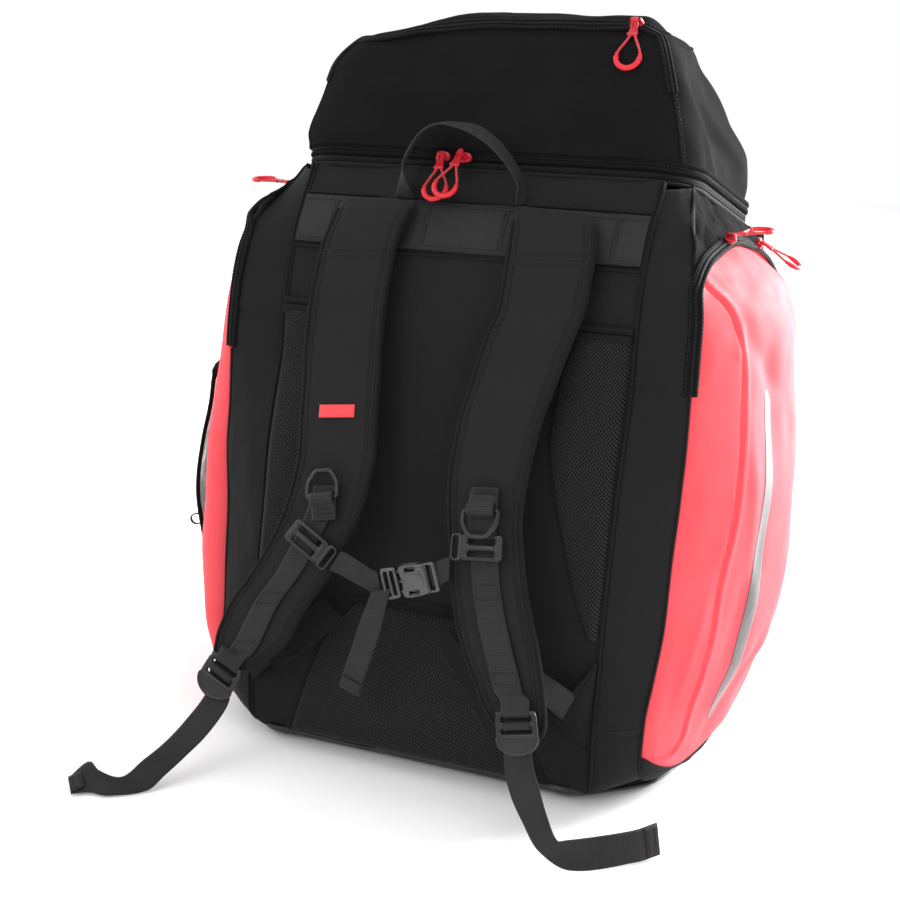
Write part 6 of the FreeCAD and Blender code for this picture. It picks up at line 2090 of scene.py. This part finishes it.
add_plate(mb, [rr(12, 26.5, 2.6, 28.6, 0), rr(4.6, 21.0, 1.2, 28.2, 0)], 4.6, 1.4, BKF, z0=-2.3)
mb.build("buckle_socket_body", M["buckle"], "bag", "buckle", sharp=48, replaces=("buckle_socket",))
mb = MB()
plug = [(-15.2, -11.5), (-14.2, -13.4), (-9, -14.0), (-2.4, -13.2), (-0.6, -11.0), (-0.3, 0), (-0.6, 11.0), (-2.4, 13.2), (-9, 14.0), (-14.2, 13.4), (-15.2, 11.5), (-15.5, 0)]
plug = [tuple(p) for p in curve_pts(arr([(a, b, 0) for a, b in plug]), 80, closed=True)[:, :2]]
add_plate(mb, [plug, rr(3.0, 20.6, 1.0, -11.0, 0), rr(2.6, 20.6, 1.0, -5.4, 0)], 6.6, 1.9, BKF, z0=-3.3)
for s_ in (-1, 1):
    pr = arr([(-1.6, s_ * 8.6, 0), (3, s_ * 8.8, 0), (9, s_ * 9.4, 0), (14, s_ * 9.8, 0), (17.0, s_ * 8.6, 0)])
    mb.tube(BKF(curve_pts(pr, 24)), np.r_[np.full(18, 1.35), np.linspace(1.35, 0.8, 6)], n=12, up=BKF.z, ry=1.25)
mb.tube(BKF(arr([(-1.6, 0, 0), (2, 0, 0), (8, 0, 0), (12, 0, 0)])), [1.5, 1.5, 1.4, 1.0], n=12, up=BKF.z, ry=1.2)
mb.build("buckle_plug_body", M["buckle"], "buckle_plug", "buckle", sharp=48, replaces=("buckle_plug",))


def band_along(name, pts, dirs, width, t, body, node, toward=(0, 1, 0), mat="web_fine", fold=False, extra=None):
    pts, dirs = arr(pts), unit(dirs)
    L4, R4 = pts - dirs * width / 2, pts + dirs * width / 2
    mb = MB()
    ribbon(mb, L4, R4, t, toward=toward, pitch=1.05, amp=0.15, cols=11)
    if extra:
        extra(mb, pts, dirs)
    return mb.build(name, M[mat], body, "webbing", replaces=(node,) if node else ())


SW_L = [(-57, -202.3, 201.4), (-50, -203, 200), (-34, -205, 195), (-21, -205.5, 190), (-12.5, -206.6, 189)]
SW_LD = [(0.45, 0.25, 0.85), (0.4, 0.15, 0.9), (0.1, 0.1, 0.98), (0, 0, 1), (-0.2, 0.0, 0.97)]
band_along("sternum_web_left", SW_L, SW_LD, 20, 1.7, "bag", "sternum_webbing")
SW_R = [(35, -205.4, 203), (41, -203.4, 205.6), (44.5, -201.8, 208), (49.5, -199.4, 210.6)]
SW_RD = [(-0.26, 0.05, 0.97), (-0.22, 0.15, 0.97), (-0.16, 0.28, 0.94), (-0.1, 0.35, 0.93)]
band_along("sternum_web_right", SW_R, SW_RD, 20, 1.7, "bag", "sternum_webbing")
ST = [(-8, -212.5, 186), (-11, -215.2, 174), (-18, -216, 150), (-27, -214, 125), (-36, -211, 103), (-42, -209, 84)]
STD = [(0.93, 0, 0.33), (0.96, 0, 0.25), (0.95, 0, -0.3), (0.93, 0, -0.35), (0.93, 0, -0.35), (0.95, 0, -0.3)]


def folded(mb, pts, dirs):
    a, b = pts[-1], pts[-2]
    u_ = unit(b - a)
    base_ = a + u_ * 1.5 + arr([0, -1.4, 0])
    d_ = dirs[-1]
    mb2 = [base_, base_ + u_ * 6, base_ + u_ * 12]
    ribbon(mb, arr(mb2) - d_ * 9.9, arr(mb2) + d_ * 9.9, 1.3, toward=(0, 1, 0), pitch=1.05, amp=0.15, cols=9)


band_along("sternum_tail_web", ST, STD, 20, 1.6, "buckle_plug", "sternum_tail", extra=folded)

for side, fr in LOCK.items():
    mb = MB()
    # frame with two slots and a half-round lip
    lip = [(17.5 * math.cos(a_), -4 + 13.4 * math.sin(a_)) for a_ in np.linspace(math.radians(200), math.radians(340), 26)]
    out = [(-17.5, -6.0), (-17.5, 12.0), (-16.4, 16.2), (-13.2, 18.0), (13.2, 18.0), (16.4, 16.2), (17.5, 12.0), (17.5, -6.0)] + lip[::-1]
    add_plate(mb, [out, rr(26.4, 4.6, 1.6, 0, 11.5), rr(26.4, 5.0, 1.6, 0, 2.0)], 4.6, 1.5, fr, z0=-2.0)
    # rounded bars and grip ridges, flared tongue
    for yy, rr_2 in ((16.0, 2.3), (6.8, 2.1), (-2.4, 2.3)):
        mb.tube(fr(arr([(-15.5, yy, 0.8), (-8, yy, 1.2), (8, yy, 1.2), (15.5, yy, 0.8)])), rr_2, n=16)
    rim_ = [(17.2 * math.cos(a_), -4 + 13.1 * math.sin(a_), 1.6) for a_ in np.linspace(math.radians(184), math.radians(356), 40)]
    mb.tube(fr(arr(rim_)), 1.9, n=12, up=fr.z)
    for s_ in (-1, 1):
        mb.tube(fr(arr([(s_ * 16.4, -5, 1.2), (s_ * 16.4, 4, 1.4), (s_ * 16.2, 12, 1.4), (s_ * 14.6, 16.0, 1.0)])), 1.7, n=12)
    mb.build("ladder_lock_" + side, M["hard"], "bag", "hardware", sharp=50, replaces=("strap_adjusters",))
    # webbing round the lower bar of the strap, through the lock
    line_ = arr([(0, 10.5, -3.4), (0, 8.5, 2.6), (0, 5.8, 4.1), (0, 3.4, 3.2), (0, 1.6, -1.0), (0, -0.6, -3.4)])
    mb = MB()
    ribbon(mb, fr(line_ + arr([-12.4, 0, 0])), fr(line_ + arr([12.4, 0, 0])), 1.5, amp=0.18, cols=11)
    # the strap behind the slots
    back_ = arr([(0, 17.0, -4.6), (0, 11, -4.8), (0, 4, -5.0), (0, -3, -5.0), (0, -10, -4.6)])
    ribbon(mb, fr(back_ + arr([-12.4, 0, 0])), fr(back_ + arr([12.4, 0, 0])), 1.5, toward=-fr.z, amp=0.18, cols=11)
    mb.build("lock_web_" + side, M["web"], "bag", "webbing")

TAIL = {"left": [((-169, -242, 72), (-146, -242, 66)), ((-181, -258, 50), (-158, -257, 42)), ((-191, -278, 35), (-170, -276, 26)), ((-201, -295, 25), (-181, -293, 13)),
                 ((-213, -312, 14), (-191, -306, 2.6)), ((-233, -319, 20), (-218, -327, 2.2)), ((-248, -312, 21), (-235, -330, 3)), ((-259, -327, 10), (-248, -338, 3))],
        "right": [((118, -242, 63), (142, -239, 69)), ((128, -252, 44), (153, -251, 53)), ((142, -263, 31), (164, -262, 38)), ((162, -275, 14), (177, -273, 26)),
                  ((188, -273, 2.2), (184, -267, 25)), ((233, -239, 2.2), (226, -231, 25)), ((246, -220, 2.2), (240, -212, 25.5))]}
for side, rows in TAIL.items():
    L5, R5 = arr([a for a, b in rows]), arr([b for a, b in rows])
    # start the strap under the lower bar of the lock
    fr = LOCK[side]
    s0 = fr(arr([(-11.6, 0.6, -1.6)]))[0]
    s1 = fr(arr([(11.6, 0.6, -1.6)]))[0]
    L5, R5 = np.vstack([s0, L5]), np.vstack([s1, R5])
    mb = MB()
    ribbon(mb, L5, R5, 1.6, toward=None, amp=0.2, cols=13)
    # folded, stitched end
    u_ = unit((L5[-2] + R5[-2]) / 2 - (L5[-1] + R5[-1]) / 2)
    nn_ = unit(np.cross(u_, R5[-1] - L5[-1]))
    if nn_[2] < 0:
        nn_ = -nn_
    if side == "right" and nn_[1] > 0:
        nn_ = -nn_
    e0, e1 = L5[-1] + u_ * 0.6 + nn_ * 1.6, R5[-1] + u_ * 0.6 + nn_ * 1.6
    rowsf = [(e0, e1), (e0 + u_ * 6, e1 + u_ * 6), (e0 + u_ * 12, e1 + u_ * 12)]
    ribbon(mb, arr([a for a, b in rowsf]), arr([b for a, b in rowsf]), 1.4, toward=-nn_, amp=0.2, cols=9)
    mb.build("strap_tail_" + side, M["web"], "bag", "webbing", replaces=("strap_tails",))
    tb = thread("bag")
    for uu in (3.0, 9.5):
        ln = np.linspace(0.12, 0.88, 10)[:, None]
        stitch_line(tb, e0 * (1 - ln) + e1 * ln + u_ * uu + nn_ * 0.3, nn_, pitch=2.4, length=1.8, r=0.42)

LOWER = {"right": [((112, -190, 141), (114, -198, 108)), ((127, -185, 131), (127, -192, 99)), ((141, -178.5, 118), (134, -184, 90)), ((154, -169.5, 104), (142, -176.5, 80))],
         "left": [((-114, -198, 108), (-112, -190, 141)), ((-127, -192, 99), (-127, -185, 131)), ((-134, -184, 90), (-141, -178.5, 118)), ((-142, -176.5, 80), (-154, -169.5, 104))]}
for side, rows in LOWER.items():
    L5, R5 = arr([a for a, b in rows]), arr([b for a, b in rows])
    mid_ = (L5 + R5) / 2
    wd = unit(R5 - L5)
    L5, R5 = mid_ - wd * 12.3, mid_ + wd * 12.3
    mb = MB()
    ribbon(mb, L5, R5, 1.6, amp=0.2, cols=13)
    mb.build("lower_web_" + side, M["web"], "bag", "webbing", replaces=("lower_webbings",))


def panel_tab(mb, rows, t, n=60, m=18, body_up=None):
    """Small padded fabric wing between two edge curves."""
    L5, R5 = curve_pts(arr([a for a, b in rows]), n), curve_pts(arr([b for a, b in rows]), n)
    s = np.linspace(0, 1, m)
    P = L5[:, None] * (1 - s[None, :, None]) + R5[:, None] * s[None, :, None]
    N = gnormals(P)
    if N[n // 2, m // 2, 1] > 0:
        N = -N
    e = np.sqrt(np.clip(1 - np.abs(2 * s - 1) ** 3, 0, 1))
    h = t / 2 * (0.45 + 0.55 * e)
    d = fbm(P, 14, 171, 2) * 0.35
    top = P + N * (h[None] + d)[..., None]
    bot = P - N * (h[None] - d)[..., None]
    mb.shell(top, 0, inner=bot)
    return top, N


WING = arr([(167.2, -158.6, 128), (152.5, -170.8, 107.5), (138.0, -178.2, 82.0), (164.5, -172.2, 58)])
for s in (1, -1):
    mb = MB()
    k1 = np.linspace(0, 1, 40)[:, None]
    outer_e = (WING[0] + arr([0, 0, 4.0])) * (1 - k1) + (WING[3] + arr([0, 0, -4.0])) * k1
    outer_e[:, 1] = np.minimum(outer_e[:, 1], py(outer_e[:, 2]) - 0.6)
    # rounded corner where the two inner edges meet
    ie = curve_pts(np.vstack([WING[0] + arr([-2.0, -0.6, 0.5]), WING[0] * 0.5 + WING[1] * 0.5, WING[1], WING[1] * 0.5 + WING[2] * 0.5, WING[2] + arr([0.6, 0.2, 1.5]), WING[2] * 0.66 + WING[3] * 0.34, WING[3] + arr([-2.0, -0.4, -0.5])]), 80)
    ie = ie[np.linspace(0, 79, 40).astype(int)]
    inner_e = ie
    v = np.linspace(0, 1, 22)
    P = outer_e[:, None] * (1 - v[None, :, None]) + inner_e[:, None] * v[None, :, None]
    N = gnormals(P)
    if N[20, 11, 1] > 0:
        N = -N
    bowl = 2.0 * np.sin(np.pi * v)[None] + fbm(P, 12, 181, 2) * 0.6
    P = P + N * bowl[..., None]
    G = P * arr([s, 1, 1])
    mb.shell(G, 0, inner=(P - N * 2.6) * arr([s, 1, 1]))
    ed = G[:, -1]
    mb.tube(curve_pts(ed, 60), 1.6, n=10)
    mb.build("anchor_wing_" + SIDE[s], M["binding"], "bag", "fabric_black", replaces=("anchor_wings",))
    stitch_line(thread("bag"), (P[4:-4, -4] + N[4:-4, -4] * 0.3) * arr([s, 1, 1]), N[4:-4, -4] * arr([s, 1, 1]), pitch=3.0, length=2.1)

LWING = {"right": [((28, -178, 128), (40, -178, 144)), ((56, -188, 96), (76, -186, 114)), ((86, -200, 62), (106, -199, 78))],
         "left": [((-84, -174, 152), (-66, -174, 136)), ((-112, -184, 128), (-92, -183, 108)), ((-134, -196, 106), (-122, -196, 84))]}
for side, rows in LWING.items():
    mb = MB()
    top, N = panel_tab(mb, rows, 3.0)
    mb.build("lumbar_wing_" + side, M["binding"], "bag", "fabric_black", replaces=("lumbar_wings",))
    for j in (2, -3):
        stitch_line(thread("bag"), top[3:-3, j] + N[3:-3, j] * 0.1, N[3:-3, j], pitch=2.9, length=2.0)

# ---------------------------------------------------------------------------
# haul loop
# ---------------------------------------------------------------------------
HL = [((-74, -43.5, 492), (-54, -44.5, 492)), ((-70, -43.0, 506), (-58, -52, 507)), ((-66, -40, 520), (-59, -58, 522)), ((-59, -39, 535), (-51, -59, 538)),
      ((-48, -39, 548), (-40, -60, 551)), ((-33, -40, 556), (-25, -61, 558)), ((-15, -42, 558), (-8, -61, 556)), ((7, -44, 556), (9, -61, 550)), ((24, -45, 546), (25, -61, 540)),
      ((38, -45, 531), (38, -59, 526)), ((48, -42.5, 511), (45, -52, 509)), ((50.5, -42, 492), (41, -45, 492))]
mb = MB()
_, top, N = ribbon(mb, arr([a for a, b in HL]), arr([b for a, b in HL]), 1.8, toward=None, amp=0.24, cols=13, pitch=1.3)
# padded middle: second layer of webbing on the grip
mid_l = curve_pts(arr([a for a, b in HL]), 200)[52:140]
mid_r = curve_pts(arr([b for a, b in HL]), 200)[52:140]
nn_ = gnormals(np.stack([mid_l, (mid_l + mid_r) / 2, mid_r], 1))[:, 1]
if nn_[40][2] < 0:
    nn_ = -nn_
w_ = unit(mid_r - mid_l)
ribbon(mb, mid_l + w_ * 0.8 + nn_ * 1.7, mid_r - w_ * 0.8 + nn_ * 1.7, 1.5, toward=-nn_[40], amp=0.24, cols=11, pitch=1.3)
mb.build("haul_loop_web", M["web"], "haul_loop", "webbing", replaces=("haul_loop",))
tb = thread("haul_loop")
for j in (2, -3):
    k_ = len(top)
    for a_, b_ in ((0.04, 0.10), (0.90, 0.96)):
        seg = top[int(a_ * k_):int(b_ * k_), j]
        sn_ = N[int(a_ * k_):int(b_ * k_), j]
        stitch_line(tb, seg, sn_, pitch=2.5, length=1.9, r=0.42)

# ---------------------------------------------------------------------------
# inside: boot divider and frame sheet, left as CAD pieces with better finishes
# ---------------------------------------------------------------------------
for nm, mt in (("boot_dividers", "lining"), ("frame_sheet", "hard")):
    o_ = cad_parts[nm]
    if not len(o_.material_slots):
        o_.data.materials.append(M[mt])
    for sl_ in o_.material_slots:
        sl_.material = M[mt]

# ---------------------------------------------------------------------------
# stitching, gathered per body
# ---------------------------------------------------------------------------
for body, mb in THREAD.items():
    mb.build("stitching_" + body, M["thread"], body, "fabric_black", recalc=False)

# ---------------------------------------------------------------------------
# studio
# ---------------------------------------------------------------------------
me = bpy.data.meshes.new("studio_floor")
g = 60
xs_, ys_ = np.linspace(-3.2, 3.2, g), np.linspace(-2.6, 3.6, g)
vv = [(float(a), float(b), float(-0.0004)) for b in ys_ for a in xs_]
ff = [(j * g + i, j * g + i + 1, (j + 1) * g + i + 1, (j + 1) * g + i) for j in range(g - 1) for i in range(g - 1)]
me.from_pydata(vv, [], ff)
me.materials.append(floor_mat())
floor = bpy.data.objects.new("studio_floor", me)
SCENE.collection.objects.link(floor)


def area(name, loc, target, size, power, color=(1, 1, 1), sy=None):
    li = bpy.data.lights.new(name, "AREA")
    li.shape = "RECTANGLE"
    li.size, li.size_y = size, sy or size
    li.energy = power
    li.color = color
    ob = bpy.data.objects.new(name, li)
    ob.location = loc
    dv = Vector(target) - Vector(loc)
    ob.rotation_euler = dv.to_track_quat("-Z", "Y").to_euler()
    SCENE.collection.objects.link(ob)
    return ob


area("key_right", (1.52, 1.92, 0.93), (0.1, 0.0, 0.30), 1.3, 248, sy=1.3)
area("fill_front", (-0.9, -2.6, 1.9), (0, 0, 0.28), 1.4, 17)
area("top_soft", (0.0, 0.1, 2.7), (0, 0, 0.3), 1.6, 13)
area("rim_left", (-2.2, 0.2, 1.2), (0, 0, 0.3), 1.4, 18)
world = bpy.data.worlds.new("studio")
SCENE.world = world
world.use_nodes = True
bgn = world.node_tree.nodes.get("Background")
bgn.inputs["Color"].default_value = (1.0, 1.0, 1.0, 1)
bgn.inputs["Strength"].default_value = 1.0
SCENE.view_settings.view_transform = "Standard"
SCENE.view_settings.look = "None"
SCENE.view_settings.exposure = 0.0

bpy.context.view_layer.update()
